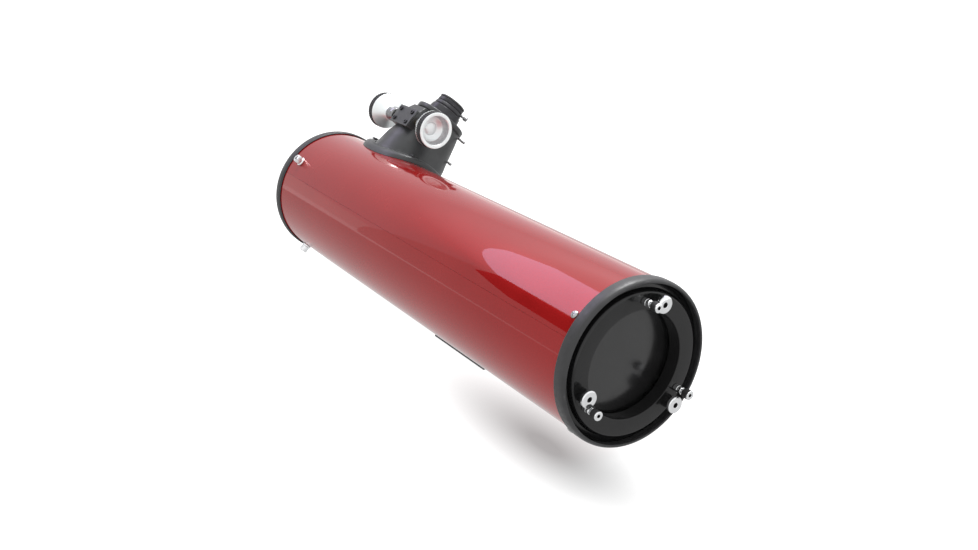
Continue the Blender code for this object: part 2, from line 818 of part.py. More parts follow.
def build_pinion_cover(housing):
    half_x, half_z = COVER_LENGTH / 2, COVER_HEIGHT / 2
    seat = FOCUSER @ frame(Vector((0, COVER_BACK, PINION_HEIGHT)), Y_AXIS, X_AXIS)
    low, high = (-half_x, -half_z, 0), (half_x, half_z, COVER_THICKNESS)
    cover = box("pinion_cover", low, high, seat, "black_satin")
    soften(cover, 0.7 * MM, segments=1)
    spacing_x, spacing_z = COVER_SCREW_SPACING
    corners = [(x, z) for x in (-0.5, 0.5) for z in (-0.5, 0.5)]
    for number, (x, z) in enumerate(corners, 1):
        name = f"cover_screw_{number}"
        foot = seat @ Matrix.Translation((x * spacing_x, z * spacing_z, COVER_THICKNESS))
        pan_head_screw(name, foot, 5.5 * MM, 1.2 * MM, 2.6 * MM, 1.7 * MM, "black_screw")
        drill(cover, name, 1.6 * MM, -4 * MM, 1 * MM, foot)
        drill(housing, f"{name}_thread", 1.6 * MM, -8 * MM, 0, foot)


def build_eyepiece_end():
    seat = DRAWTUBE_OUTER_END
    spigot = DRAWTUBE_MOUTH - GAP
    profile = [
        (17 * MM, EYEPIECE_TOP),
        (17.5 * MM, EYEPIECE_TOP - 0.5 * MM),
        (19 * MM, seat + 1.7 * MM),
        (18.6 * MM, seat + 1.3 * MM),
        (18.6 * MM, seat + GAP),
        (spigot, seat + GAP),
        (spigot, seat - 8 * MM),
        (EYEPIECE_BORE, seat - 8 * MM),
        (EYEPIECE_BORE, EYEPIECE_TOP),
    ]
    holder = turned("eyepiece_holder", profile, FOCUSER, "anodised", sides=DRAWTUBE_SIDES)
    foot = side_screw_frame(EYEPIECE_SCREW_HEIGHT, 18.7 * MM)
    length = 2.4 * MM
    thumbscrew("eyepiece_screw", foot, length, head=3.1 * MM, neck=1.7 * MM, height=9.2 * MM, shank=1.4 * MM)
    drill(holder, "eyepiece_screw", 1.8 * MM, -8 * MM, 4 * MM, foot)


def side_screw_frame(height, reach):
    """A frame on the side between the rear and the one away from the pinion, with Z pointing out."""
    turn = math.radians(SIDE_SCREW_TURN)
    out = Vector((-math.sin(turn), -math.cos(turn), 0))
    return FOCUSER @ frame(height * Z_AXIS + reach * out, out, Z_AXIS)


def build_dust_cap():
    rim = EYEPIECE_TOP + GAP
    plug = EYEPIECE_BORE - GAP
    profile = [
        (0, rim + 1 * MM),
        (13 * MM, rim + 1 * MM),
        (13.8 * MM, rim + 2.2 * MM),
        (17 * MM, rim + 2.2 * MM),
        (17.8 * MM, rim + 1.6 * MM),
        (17.8 * MM, rim),
        (plug, rim),
        (plug - 0.4 * MM, rim - 3.2 * MM),
        (plug - 1.8 * MM, rim - 3.2 * MM),
        (plug - 1.8 * MM, rim - 1 * MM),
        (0, rim - 1 * MM),
    ]
    turned("dust_cap", profile, FOCUSER, "rubber", sides=24)


def build_housing_screws(housing):
    """The two thin screws that press on the drawtube."""
    for name, height, reach, standing in (
        ("drawtube_lock_screw", 139.5 * MM, 33.2 * MM, 10.3 * MM),
        ("drawtube_tension_screw", 107.5 * MM, 40.8 * MM, 5.7 * MM),
    ):
        foot = side_screw_frame(height, reach)
        length = reach - DRAWTUBE_RADIUS - 0.9 * MM
        thumbscrew(name, foot, length, head=1.9 * MM, neck=1.5 * MM, height=standing, shank=1.4 * MM)
        drill(housing, name, 1.8 * MM, -reach, 4 * MM, foot)


def build_flange_screws(tube, housing):
    along, spread = FLANGE_SCREWS
    corners = [(x, a) for x in (-along, along) for a in (-spread, spread)]
    for number, (x, turn) in enumerate(corners, 1):
        name = f"focuser_screw_{number}"
        angle = FOCUSER_ANGLE + turn
        seat = frame(at(angle, TUBE_RADIUS + FLANGE_HEIGHT, FOCUSER_PLACE + x), outward(angle), SKYWARD)
        length = FLANGE_HEIGHT + 4 * MM
        pan_head_screw(name, seat, length, head=4.2 * MM, height=2.4 * MM, finish="black_screw")
        drill(housing, name, 2.3 * MM, -12 * MM, 4 * MM, seat)
        drill(tube, f"{name}_tube", 2.3 * MM, -12 * MM, 0, seat)


# ---- dovetail bar ----


def dovetail_outline():
    """The bar's section as (across, below its flat face), anticlockwise about the sky direction."""
    face, waist = DOVETAIL_FACE_WIDTH / 2, DOVETAIL_WAIST_WIDTH / 2
    edge, undercut, top = -2 * MM, -11 * MM, -15 * MM
    left = [(-waist, top), (-waist, undercut), (-face, edge), (-face, 0)]
    right = [(-x, y) for x, y in reversed(left)]
    return list(reversed(left + right))


def build_dovetail(tube):
    half = DOVETAIL_LENGTH / 2
    seat = frame(Vector((0, 0, 0)), SKYWARD, X_AXIS)
    bar = extruded("dovetail_bar", dovetail_outline(), -half, half, seat, "black_metal")
    ends = REAR_BEHIND_ORIGIN - 1.5 * half, REAR_BEHIND_ORIGIN + 1.5 * half
    cut(bar, cylinder("bar_saddle", TUBE_RADIUS + GAP, *ends, AXIAL, sides=SIDES))
    for number, place in enumerate(DOVETAIL_BOLTS, 1):
        name = f"dovetail_bolt_{number}"
        inside = at(270, TUBE_RADIUS - TUBE_WALL - 2 * GAP, REAR_BEHIND_ORIGIN + place)
        foot = frame(inside, Z_AXIS, X_AXIS)
        pan_head_screw(name, foot, 8 * MM, shank=2.6 * MM, head=5 * MM, height=3 * MM)
        drill(bar, name, 3 * MM, -9 * MM, 2 * MM, foot)
        drill(tube, f"{name}_tube", 3 * MM, -3 * MM, 2 * MM, foot)


# ---- the whole telescope ----


def open_tube_for_focuser(tube):
    drill(tube, "focuser_opening", 30 * MM, 50 * MM, 90 * MM, FOCUSER, sides=32)


def build():
    tube = build_tube()
    build_end_rings()
    plate = build_back_plate()
    build_mirror_cell()
    build_primary_mirror()
    build_mirror_clips()
    build_collimation()
    build_cell_screws(tube, plate)
    build_spider(tube)
    build_secondary()
    housing = build_focuser_housing()
    build_drawtube()
    build_pinion()
    build_knobs()
    build_pinion_cover(housing)
    build_eyepiece_end()
    build_dust_cap()
    build_housing_screws(housing)
    build_flange_screws(tube, housing)
    build_dovetail(tube)
    open_tube_for_focuser(tube)


clear_scene()
parts = new_collection("newtonian_telescope")
cutters = new_collection("cutters")
build()
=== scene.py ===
"""The reflector telescope as it looks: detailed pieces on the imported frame, with a floor, light and camera.

Profiles are in millimetres in a piece's own frame, where Z is the axis it is turned about.
"""

import json
import math

import bmesh
import bpy
from mathutils import Matrix, Vector


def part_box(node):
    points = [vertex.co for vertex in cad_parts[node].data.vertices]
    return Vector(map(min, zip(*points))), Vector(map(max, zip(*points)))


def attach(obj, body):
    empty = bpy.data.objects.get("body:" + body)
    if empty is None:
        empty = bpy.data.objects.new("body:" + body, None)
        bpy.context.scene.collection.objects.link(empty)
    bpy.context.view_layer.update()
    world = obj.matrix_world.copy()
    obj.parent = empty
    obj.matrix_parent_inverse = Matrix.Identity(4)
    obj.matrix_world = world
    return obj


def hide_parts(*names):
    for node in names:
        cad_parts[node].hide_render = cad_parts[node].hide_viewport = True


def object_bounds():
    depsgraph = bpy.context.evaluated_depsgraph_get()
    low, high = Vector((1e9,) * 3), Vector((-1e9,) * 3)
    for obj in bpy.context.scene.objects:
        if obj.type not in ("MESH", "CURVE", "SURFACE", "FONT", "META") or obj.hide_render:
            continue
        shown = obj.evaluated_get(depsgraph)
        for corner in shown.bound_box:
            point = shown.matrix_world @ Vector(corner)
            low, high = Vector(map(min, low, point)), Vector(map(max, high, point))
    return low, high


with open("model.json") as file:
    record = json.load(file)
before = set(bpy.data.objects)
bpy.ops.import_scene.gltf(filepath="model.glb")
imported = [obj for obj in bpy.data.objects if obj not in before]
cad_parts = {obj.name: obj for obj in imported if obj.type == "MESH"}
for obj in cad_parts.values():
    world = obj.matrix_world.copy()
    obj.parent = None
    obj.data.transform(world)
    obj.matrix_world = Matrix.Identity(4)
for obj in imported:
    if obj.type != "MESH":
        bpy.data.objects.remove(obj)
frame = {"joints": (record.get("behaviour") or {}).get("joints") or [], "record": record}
cad_low, cad_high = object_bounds()

MM = 0.001
TURN = 2 * math.pi
RECORD = frame["record"]
JOINTS = {joint["name"]: joint for joint in frame["joints"]}
BODY_OF = {node: body for body, nodes in RECORD["behaviour"]["bodies"].items() for node in nodes}
SLOT_OF = {part["node"]: part["material_slot"] for part in RECORD["subparts"]}


# ---- where things are, worked out from the frame ----


def centre_of(node):
    low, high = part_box(node)
    return (low + high) / 2


def axes(origin, z_axis, x_axis):
    """The matrix of a frame with this origin, Z axis and X axis."""
    y_axis = z_axis.cross(x_axis)
    return Matrix.Translation(origin) @ Matrix((x_axis, y_axis, z_axis)).transposed().to_4x4()


def joint_point(name):
    return Vector(JOINTS[name]["pos_m"])


def joint_axis(name):
    return Vector(JOINTS[name]["axis"]).normalized()


SKYWARD = Vector((0, 1, 0))
REARWARD = -SKYWARD
SIDEWAYS = Vector((1, 0, 0))
UPWARD = Vector((0, 0, 1))

RIM_CREST = 1.5
tube_low, tube_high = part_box("tube")
TUBE_CENTRE = (tube_low + tube_high) / 2
TUBE_RADIUS = (tube_high.x - tube_low.x) / 2 / MM
REAR_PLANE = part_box("rear_ring")[0].y + RIM_CREST * MM
FRONT_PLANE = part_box("front_ring")[1].y - RIM_CREST * MM
AXIS_POINT = Vector((TUBE_CENTRE.x, REAR_PLANE, TUBE_CENTRE.z))
FRONT_POINT = Vector((TUBE_CENTRE.x, FRONT_PLANE, TUBE_CENTRE.z))
AXIAL = axes(AXIS_POINT, SKYWARD, SIDEWAYS)
FROM_FRONT = axes(FRONT_POINT, REARWARD, SIDEWAYS)

OUT = joint_axis("drawtube_slide")
PINION = joint_point("focus_knob_turn")
FOCUS_POINT = Vector((TUBE_CENTRE.x, PINION.y, TUBE_CENTRE.z))
# Focuser frame: X runs along the tube, Y towards the pinion and Z outward.
FOCUSER = axes(FOCUS_POINT, OUT, SKYWARD)
_, PINION_OFFSET, PINION_HEIGHT = (FOCUSER.inverted() @ PINION) / MM
FOCUSER_PLACE = (PINION.y - REAR_PLANE) / MM


def on_joint(name, x_axis=None):
    """A frame at a joint's point with Z along its axis."""
    axis = joint_axis(name)
    if x_axis is None:
        x_axis = SKYWARD if abs(axis.y) < 0.5 else SIDEWAYS
    x_axis = (x_axis - x_axis.dot(axis) * axis).normalized()
    return axes(joint_point(name), axis, x_axis)


def shifted(matrix, x=0, y=0, z=0):
    return matrix @ Matrix.Translation((x * MM, y * MM, z * MM))


def turned_by(matrix, degrees):
    return matrix @ Matrix.Rotation(math.radians(degrees), 4, "Z")


# ---- finishes ----


class Finish:
    """A Principled material and the means to wire procedural detail into it."""

    def __init__(self, name, colour, roughness, metallic=0.0, **constants):
        self.material = bpy.data.materials.new(name)
        self.material.use_nodes = True
        self.tree = self.material.node_tree
        self.shader = self.tree.nodes["Principled BSDF"]
        self.shader.inputs["Base Color"].default_value = (*colour, 1)
        self.shader.inputs["Roughness"].default_value = roughness
        self.shader.inputs["Metallic"].default_value = metallic
        self.colour = colour
        for socket, value in constants.items():
            self.shader.inputs[socket.replace("_", " ").title().replace("Ior", "IOR")].default_value = value
        self.normal = None

    def node(self, kind, **settings):
        node = self.tree.nodes.new(kind)
        for key, value in settings.items():
            setattr(node, key, value)
        return node

    def link(self, source, target):
        self.tree.links.new(source, target)

    def place(self):
        """The point on the piece, in its own frame and in metres."""
        return self.node("ShaderNodeTexCoord").outputs["Object"]

    def round_place(self):
        """The point as (radius, height), so that a texture follows the lathe."""
        split = self.node("ShaderNodeSeparateXYZ")
        self.link(self.place(), split.inputs[0])
        flat = self.node("ShaderNodeCombineXYZ")
        self.link(split.outputs["X"], flat.inputs["X"])
        self.link(split.outputs["Y"], flat.inputs["Y"])
        length = self.node("ShaderNodeVectorMath", operation="LENGTH")
        self.link(flat.outputs[0], length.inputs[0])
        both = self.node("ShaderNodeCombineXYZ")
        self.link(length.outputs["Value"], both.inputs["X"])
        self.link(split.outputs["Z"], both.inputs["Y"])
        return both.outputs[0]

    def noise(self, size, detail=3.0, place=None, stretch=(1, 1, 1), roughness=0.5):
        """Noise whose features are about size millimetres."""
        spread = self.node("ShaderNodeMapping")
        spread.inputs["Scale"].default_value = stretch
        self.link(place or self.place(), spread.inputs["Vector"])
        noise = self.node("ShaderNodeTexNoise")
        noise.inputs["Scale"].default_value = 1 / (size * MM)
        noise.inputs["Detail"].default_value = detail
        noise.inputs["Roughness"].default_value = roughness
        self.link(spread.outputs[0], noise.inputs["Vector"])
        return noise.outputs["Fac"]

    def cells(self, size, output="Distance"):
        cells = self.node("ShaderNodeTexVoronoi")
        cells.inputs["Scale"].default_value = 1 / (size * MM)
        self.link(self.place(), cells.inputs["Vector"])
        return cells.outputs[output]

    def spread(self, source, low, high, start=0.3, end=0.7):
        """A pattern stretched so that start to end becomes low to high."""
        spread = self.node("ShaderNodeMapRange")
        self.link(source, spread.inputs["Value"])
        for socket, value in (("From Min", start), ("From Max", end), ("To Min", low), ("To Max", high)):
            spread.inputs[socket].default_value = value
        return spread.outputs["Result"]

    def tint(self, source, other, start=0.35, end=0.65):
        """The base colour goes from what it is to another as the pattern rises."""
        socket = self.shader.inputs["Base Color"]
        mix = self.node("ShaderNodeMix", data_type="RGBA")
        self.link(self.spread(source, 0, 1, start, end), mix.inputs["Factor"])
        if socket.is_linked:
            self.link(socket.links[0].from_socket, mix.inputs["A"])
        else:
            mix.inputs["A"].default_value = (*self.colour, 1)
        mix.inputs["B"].default_value = (*other, 1)
        self.link(mix.outputs["Result"], socket)
        return self

    def gloss(self, source, low, high, start=0.3, end=0.7):
        self.link(self.spread(source, low, high, start, end), self.shader.inputs["Roughness"])
        return self

    def bump(self, source, height, strength=1.0):
        """Relief of about height millimetres. A later bump rides on the earlier ones."""
        bump = self.node("ShaderNodeBump")
        bump.inputs["Distance"].default_value = height * MM
        bump.inputs["Strength"].default_value = strength
        self.link(source, bump.inputs["Height"])
        if self.normal is not None:
            self.link(self.normal, bump.inputs["Normal"])
        self.normal = bump.outputs["Normal"]
        self.link(self.normal, self.shader.inputs["Normal"])
        return self

    def wear_and_edge_highlight(self, colour, start=0.53, end=0.62):
        """Lighter colour on edges that stand out, broken up by noise: partly rubbed wear, partly a painted
        edge highlight.
        """
        edge = self.node("ShaderNodeNewGeometry").outputs["Pointiness"]
        rubbed_and_highlit = self.node("ShaderNodeMath", operation="MULTIPLY")
        self.link(self.spread(edge, 0, 1, start, end), rubbed_and_highlit.inputs[0])
        self.link(self.spread(self.noise(2.5, 4), 0.1, 0.9), rubbed_and_highlit.inputs[1])
        return self.tint(rubbed_and_highlit.outputs[0], colour, 0, 1)


def red_enamel():
    """A candy red: fine metal flakes under a clear gloss coat."""
    paint = Finish(
        "red_enamel",
        (0.27, 0.007, 0.007),
        0.24,
        0.3,
        coat_weight=1.0,
        coat_roughness=0.012,
        coat_ior=1.42,
        specular_ior_level=0.0,
    )
    paint.tint(paint.noise(90, 2), (0.25, 0.0055, 0.006), 0.3, 0.7)
    paint.tint(paint.cells(0.4, "Color"), (0.31, 0.011, 0.011), 0.5, 1.3)
    paint.gloss(paint.noise(40, 3), 0.2, 0.28)
    paint.bump(paint.noise(0.6, 2), 0.004, 0.2)
    return paint.material


def satin_black(name, level=0.018, roughness=0.42, grain=0.5, relief=0.03):
    black = Finish(name, (level, level, level * 1.06), roughness)
    black.tint(black.noise(14, 4), (level * 1.5, level * 1.5, level * 1.6), 0.35, 0.75)
    black.wear_and_edge_highlight((level * 4, level * 4, level * 4.2))
    black.gloss(black.noise(5, 5), roughness - 0.07, roughness + 0.1)
    black.bump(black.noise(grain, 3), relief, 0.6)
    return black.material


def powder_coat():
    coat = Finish("black_powder_coat", (0.022, 0.0235, 0.0245), 0.36)
    coat.tint(coat.noise(20, 3), (0.032, 0.034, 0.0355), 0.3, 0.75)
    coat.wear_and_edge_highlight((0.1, 0.105, 0.108), 0.56, 0.7)
    coat.gloss(coat.noise(7, 4), 0.3, 0.46)
    coat.bump(coat.noise(1.1, 2), 0.035, 0.5)
    coat.bump(coat.noise(0.35, 2), 0.012, 0.4)
    return coat.material


def cell_paint(name, shine):
    paint = Finish(name, (0.005, 0.005, 0.0052), 0.18, specular_ior_level=shine)
    paint.tint(paint.noise(26, 4), (0.008, 0.008, 0.0084), 0.3, 0.75)
    paint.gloss(paint.noise(18, 5), 0.14, 0.24)
    paint.bump(paint.noise(0.5, 3, paint.round_place()), 0.008, 0.4)
    paint.bump(paint.noise(2.4, 3), 0.02, 0.3)
    return paint.material


def tube_lining():
    lining = Finish("matt_black_lining", (0.012, 0.012, 0.012), 0.85)
    lining.tint(lining.noise(8, 5), (0.02, 0.02, 0.021))
    lining.gloss(lining.noise(3, 3), 0.75, 0.95)
    lining.bump(lining.noise(0.8, 4), 0.08, 0.7)
    return lining.material


def chrome():
    roughness, lines = 0.08, 0.18
    metal = Finish("polished_chrome", (0.86, 0.87, 0.88), roughness, 1.0)
    metal.tint(metal.noise(6, 4), (0.78, 0.79, 0.8), 0.4, 0.8)
    metal.gloss(metal.noise(lines, 3, metal.round_place()), roughness * 0.6, roughness * 2.4)
    metal.bump(metal.noise(lines, 2, metal.round_place()), 0.0035, 0.35)
    return metal.material


def knob_metal():
    """Bright satin plating, matt enough to hide what stands round it. Its faint cyan tint is a painted
    counter-tint against the pink light that the red tube bounces onto it.
    """
    metal = Finish("satin_plating", (0.86, 0.9, 0.9), 0.34, 0.6)
    metal.tint(metal.noise(6, 4), (0.8, 0.84, 0.845), 0.4, 0.8)
    metal.gloss(metal.noise(0.3, 3, metal.round_place()), 0.3, 0.44)
    metal.bump(metal.noise(0.3, 2, metal.round_place()), 0.003, 0.35)
    return metal.material


def brushed_steel(name, level, roughness):
    metal = Finish(name, (level, level, level * 1.02), roughness, 0.8)
    metal.tint(metal.noise(3, 4), (level * 0.75, level * 0.76, level * 0.78), 0.4, 0.75)
    metal.gloss(metal.noise(0.3, 3, metal.round_place()), roughness * 0.7, roughness * 1.4)
    metal.bump(metal.noise(0.25, 2, metal.round_place()), 0.004, 0.4)
    return metal.material


def zinc():
    metal = Finish("zinc_plate", (0.46, 0.46, 0.45), 0.3, 1.0)
    metal.tint(metal.noise(1.6, 4), (0.36, 0.37, 0.38), 0.4, 0.7)
    metal.gloss(metal.noise(1, 4), 0.2, 0.45)
    metal.bump(metal.noise(0.3, 3), 0.006, 0.5)
    return metal.material


def blackened_screw():
    metal = Finish("blackened_steel", (0.028, 0.028, 0.03), 0.32, 0.75)
    metal.tint(metal.noise(1.2, 4), (0.05, 0.05, 0.055), 0.45, 0.7)
    metal.wear_and_edge_highlight((0.3, 0.3, 0.31), 0.55, 0.66)
    metal.gloss(metal.noise(0.9, 4), 0.22, 0.45)
    metal.bump(metal.noise(0.3, 2), 0.005, 0.5)
    return metal.material


def grip_rubber():
    rubber = Finish("grip_rubber", (0.018, 0.018, 0.019), 0.62)
    rubber.tint(rubber.noise(3, 5), (0.035, 0.035, 0.037), 0.45, 0.75)
    rubber.wear_and_edge_highlight((0.09, 0.09, 0.092), 0.55, 0.7)
    rubber.gloss(rubber.noise(2, 4), 0.5, 0.75)
    rubber.bump(rubber.noise(0.35, 3), 0.02, 0.7)
    return rubber.material


def anodised():
    metal = Finish("black_anodised", (0.03, 0.03, 0.033), 0.34, 0.55)
    metal.tint(metal.noise(9, 4), (0.045, 0.045, 0.05), 0.4, 0.75)
    metal.wear_and_edge_highlight((0.22, 0.22, 0.23), 0.55, 0.68)
    metal.gloss(metal.noise(0.3, 3, metal.round_place()), 0.26, 0.44)
    metal.bump(metal.noise(0.22, 2, metal.round_place()), 0.006, 0.5)
    return metal.material


def cap_plastic():
    plastic = Finish("cap_plastic", (0.026, 0.026, 0.028), 0.4)
    plastic.tint(plastic.noise(8, 4), (0.04, 0.04, 0.042), 0.4, 0.75)
    plastic.gloss(plastic.noise(3, 4), 0.32, 0.5)
    plastic.bump(plastic.noise(0.8, 3), 0.015, 0.5)
    return plastic.material


def brass():
    metal = Finish("turned_brass", (0.76, 0.55, 0.25), 0.25, 1.0)
    metal.tint(metal.noise(3, 4), (0.6, 0.42, 0.18), 0.4, 0.75)
    metal.gloss(metal.noise(0.2, 3, metal.round_place()), 0.18, 0.4)
    metal.bump(metal.noise(0.2, 2, metal.round_place()), 0.004, 0.5)
    return metal.material


def mirror_face():
    metal = Finish("aluminised_glass", (0.93, 0.94, 0.95), 0.02, 1.0)
    metal.tint(metal.noise(30, 3), (0.9, 0.91, 0.93), 0.4, 0.7)
    metal.gloss(metal.noise(12, 5), 0.012, 0.05)
    metal.bump(metal.noise(45, 1), 0.0008, 0.1)
    return metal.material


def ground_glass():
    glass = Finish("ground_glass_edge", (0.3, 0.42, 0.38), 0.5)
    glass.tint(glass.noise(4, 4), (0.4, 0.5, 0.46))
    glass.gloss(glass.noise(2, 4), 0.4, 0.65)
    glass.bump(glass.noise(0.5, 3), 0.02, 0.6)
    return glass.material


FINISHES = {
    "red_paint": red_enamel(),
    "black_satin": satin_black("satin_black_moulding"),
    "black_casting": powder_coat(),
    "black_metal": satin_black("matt_black_metal", 0.022, 0.5, 0.4, 0.02),
    "black_anodised": anodised(),
    "black_plastic": cap_plastic(),
    "chrome": chrome(),
    "steel": zinc(),
    "black_screw": blackened_screw(),
    "rubber": grip_rubber(),
    "brass": brass(),
    "mirror_glass": mirror_face(),
}
PLATE_PAINT = cell_paint("black_plate_paint", 0.4)
CELL_PAINT = cell_paint("black_cell_paint", 0.8)
# Near-black painted shade, for the insides of screw sockets and the knurled sides of the lock screws' heads.
PAINTED_SHADE_BLACK = satin_black("painted_shade_black", 0.008, 0.6, 0.3, 0.01)
TUBE_LINING = tube_lining()
GROUND_GLASS = ground_glass()
KNOB_METAL = knob_metal()
# Darker steel on the knob necks: a painted reflection of the dark focuser body in the plating.
NECK_PAINTED_REFLECTION = brushed_steel("knob_neck_painted_reflection", 0.3, 0.2)
PIN_METAL = brushed_steel("pin_steel", 0.34, 0.42)
# Greyer steel on the knob cups' inner walls: painted shade in the recess.
RECESS_PAINTED_SHADE = brushed_steel("knob_recess_painted_shade", 0.6, 0.4)


# ---- shapes ----


def new_piece(name, mesh, matrix, *materials):
    obj = bpy.data.objects.new(name, mesh)
    bpy.context.scene.collection.objects.link(obj)
    obj.matrix_world = matrix
    for material in materials:
        mesh.materials.append(material)
    return obj


def shade(obj, sharp=32):
    """Smooth shading with a crisp edge wherever faces meet at more than sharp degrees."""
    mesh = obj.data
    mesh.shade_smooth()
    mesh.set_sharp_from_angle(angle=math.radians(sharp))
    return obj


def rounded(profile, radius=0.4, steps=3):
    """The profile with its corners eased. A profile that doesn't begin on the axis is a closed loop."""
    closed = profile[0][0] > 0
    points = [Vector(point) for point in profile]
    count = len(points)
    result = []
    for i, corner in enumerate(points):
        if not closed and i in (0, count - 1):
            result.append(tuple(corner))
            continue
        before = points[i - 1] - corner
        after = points[(i + 1) % count] - corner
        reach = min(radius, before.length * 0.45, after.length * 0.45)
        start = corner + before.normalized() * reach
        end = corner + after.normalized() * reach
        for step in range(steps + 1):
            t = step / steps
            point = start * (1 - t) ** 2 + corner * 2 * t * (1 - t) + end * t**2
            result.append(tuple(point))
    return result


def finished_mesh(build, name):
    """The mesh that a bmesh holds. The bmesh is freed."""
    mesh = bpy.data.meshes.new(name)
    build.to_mesh(mesh)
    build.free()
    return mesh


def lathe(name, profile, matrix, material, sides=96, shape=None, turns=None):
    """A solid turned about Z from (radius, height) points that run down its outer side.

    shape(radius, height, turn) may change the radius, for knurls, sockets and threads.
    """
    build = bmesh.new()
    turns = turns or [TURN * i / sides for i in range(sides)]
    rows = []
    for radius, height in profile:
        if radius < 1e-6:
            rows.append([build.verts.new((0, 0, height * MM))])
            continue
        row = []
        for turn in turns:
            r = shape(radius, height, turn) if shape else radius
            row.append(build.verts.new((r * MM * math.cos(turn), r * MM * math.sin(turn), height * MM)))
        rows.append(row)
    pairs = list(zip(rows, rows[1:]))
    if profile[0][0] > 1e-6:
        pairs.append((rows[-1], rows[0]))
    for upper, lower in pairs:
        skin(build, upper, lower)
    return shade(new_piece(name, finished_mesh(build, name), matrix, material))


def skin(build, upper, lower):
    """Faces between two rows of points. A row of one point is a pole."""
    count = max(len(upper), len(lower))
    if len(upper) == len(lower) == 1:
        return
    for i in range(count):
        j = (i + 1) % count
        if len(upper) == 1:
            build.faces.new((upper[0], lower[i], lower[j]))
        elif len(lower) == 1:
            build.faces.new((upper[i], lower[0], upper[j]))
        else:
            build.faces.new((upper[i], lower[i], lower[j], upper[j]))


def loft(name, rings, matrix, material):
    """A closed solid over rings of equal counts, given in millimetres from its bottom to its top."""
    build = bmesh.new()
    loops = [[build.verts.new(Vector(point) * MM) for point in ring] for ring in rings]
    for lower, upper in zip(loops, loops[1:]):
        skin(build, upper, lower)
    build.faces.new(reversed(loops[0]))
    build.faces.new(loops[-1])
    return shade(new_piece(name, finished_mesh(build, name), matrix, material))


def ease_edges(build, edges, amount, segments):
    bmesh.ops.bevel(build, geom=edges, offset=amount * MM, segments=segments, profile=0.5, affect="EDGES")


def eased(piece, amount, segments):
    """The piece with its corners rounded, wherever faces meet at more than 30 degrees."""
    build = bmesh.new()
    build.from_mesh(piece.data)
    edges = [edge for edge in build.edges if edge.calc_face_angle(0) > math.radians(30)]
    ease_edges(build, edges, amount, segments)
    build.to_mesh(piece.data)
    build.free()
    return shade(piece)


def block(name, low, high, matrix, material, bevel=0.3, segments=3):
    """A box with eased edges, in millimetres."""
    build = bmesh.new()
    bmesh.ops.create_cube(build, size=1)
    low, high = Vector(low) * MM, Vector(high) * MM
    bmesh.ops.scale(build, vec=high - low, verts=build.verts)
    bmesh.ops.translate(build, vec=(low + high) / 2, verts=build.verts)
    if bevel:
        ease_edges(build, build.edges[:], bevel, segments)
    return shade(new_piece(name, finished_mesh(build, name), matrix, material))


def prism(name, outline, low, high, matrix, material, bevel=0.0):
    """A flat outline in millimetres, anticlockwise about Z, from low to high."""
    rings = [[(x, y, height) for x, y in outline] for height in (low, high)]
    piece = loft(name, rings, matrix, material)
    return eased(piece, bevel, 2) if bevel else piece


def boolean(obj, other, operation):
    """Cuts or joins at once, and removes the other object."""
    modifier = obj.modifiers.new(operation, "BOOLEAN")
    modifier.operation = operation
    modifier.solver = "EXACT"
    modifier.object = other
    bpy.context.view_layer.update()
    result = bpy.data.meshes.new_from_object(obj.evaluated_get(bpy.context.evaluated_depsgraph_get()))
    obj.modifiers.clear()
    obj.data = result
    bpy.data.objects.remove(other)
    return shade(obj)


def cut(obj, *others):
    for other in others:
        boolean(obj, other, "DIFFERENCE")
    return obj


def fuse(obj, *others):
    for other in others:
        boolean(obj, other, "UNION")
    return obj


def hole(obj, radius, bottom, top, matrix, sides=32):
    """A round hole. It is turned a little, so that its edges miss those of the wall."""
    material = obj.data.materials[0]
    profile = [(0, top), (radius, top), (radius, bottom), (0, bottom)]
    return cut(obj, lathe("drill", profile, turned_by(matrix, 3), material, sides))


def circle(radius, height, count=96):
    turns = [TURN * i / count for i in range(count)]
    return [(radius * math.cos(turn), radius * math.sin(turn), height) for turn in turns]


def stand_for(piece, node):
    """The piece is shown in place of a CAD node and moves with its body."""
    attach(piece, BODY_OF[node])
    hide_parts(node)
    return piece


def finish_of(node):
    return FINISHES[SLOT_OF[node]]


def paint_faces(piece, material, wanted):
    """Gives a second material to the faces whose centre, in the piece's frame and in mm, is wanted."""
    if material.name not in piece.data.materials:
        piece.data.materials.append(material)
    slot = piece.data.materials.find(material.name)
    for face in piece.data.polygons:
        if wanted(face.center / MM, face.normal):
            face.material_index = slot


def reach(point):
    """The distance from Z."""
    return math.hypot(point.x, point.y)


# ---- ways to change a turned piece's radius ----


def hexagon(across, low, high):
    """A socket: points as far from Z as its flats, between two heights, follow a hexagon."""
    apothem = across / 2

    def shape(radius, height, turn):
        if abs(radius - apothem) > 0.01 or not low <= height <= high:
            return radius
        return apothem / math.cos((turn + math.pi / 6) % (math.pi / 3) - math.pi / 6)

    return shape


def knurl(count, depth, low, high, above):
    """Straight ribs between two heights on what is farther from Z than above."""

    def shape(radius, height, turn):
        if radius < above or not low <= height <= high:
            return radius
        wave = 0.5 - 0.5 * math.cos(count * turn)
        return radius - depth * wave**0.6

    return shape


def thread(pitch, depth, low, high, above, below):
    """A helical thread between two heights and two radii."""

    def shape(radius, height, turn):
        if not above <= radius <= below or not low <= height <= high:
            return radius
        phase = (height / pitch + turn / TURN) % 1
        return radius - depth * abs(2 * phase - 1)

    return shape


def combined(*shapes):
    def shape(radius, height, turn):
        for change in shapes:
            radius = change(radius, height, turn)
        return radius

    return shape


def shank(radius, top, bottom, pitch):
    """Close-set profile points down a threaded shank."""
    count = max(2, round((top - bottom) / pitch * 4))
    return [(radius, top + (bottom - top) * i / count) for i in range(count + 1)]


# ---- tube and rings ----

SEAM_ANGLE = math.radians(-150)
SEAM_WIDTH = 0.5
SEAM_DEPTH = 0.25
TUBE_WALL = 1.0
SEAT_ROOM = 0.3
BOLT_HEAD_HEIGHT = 3


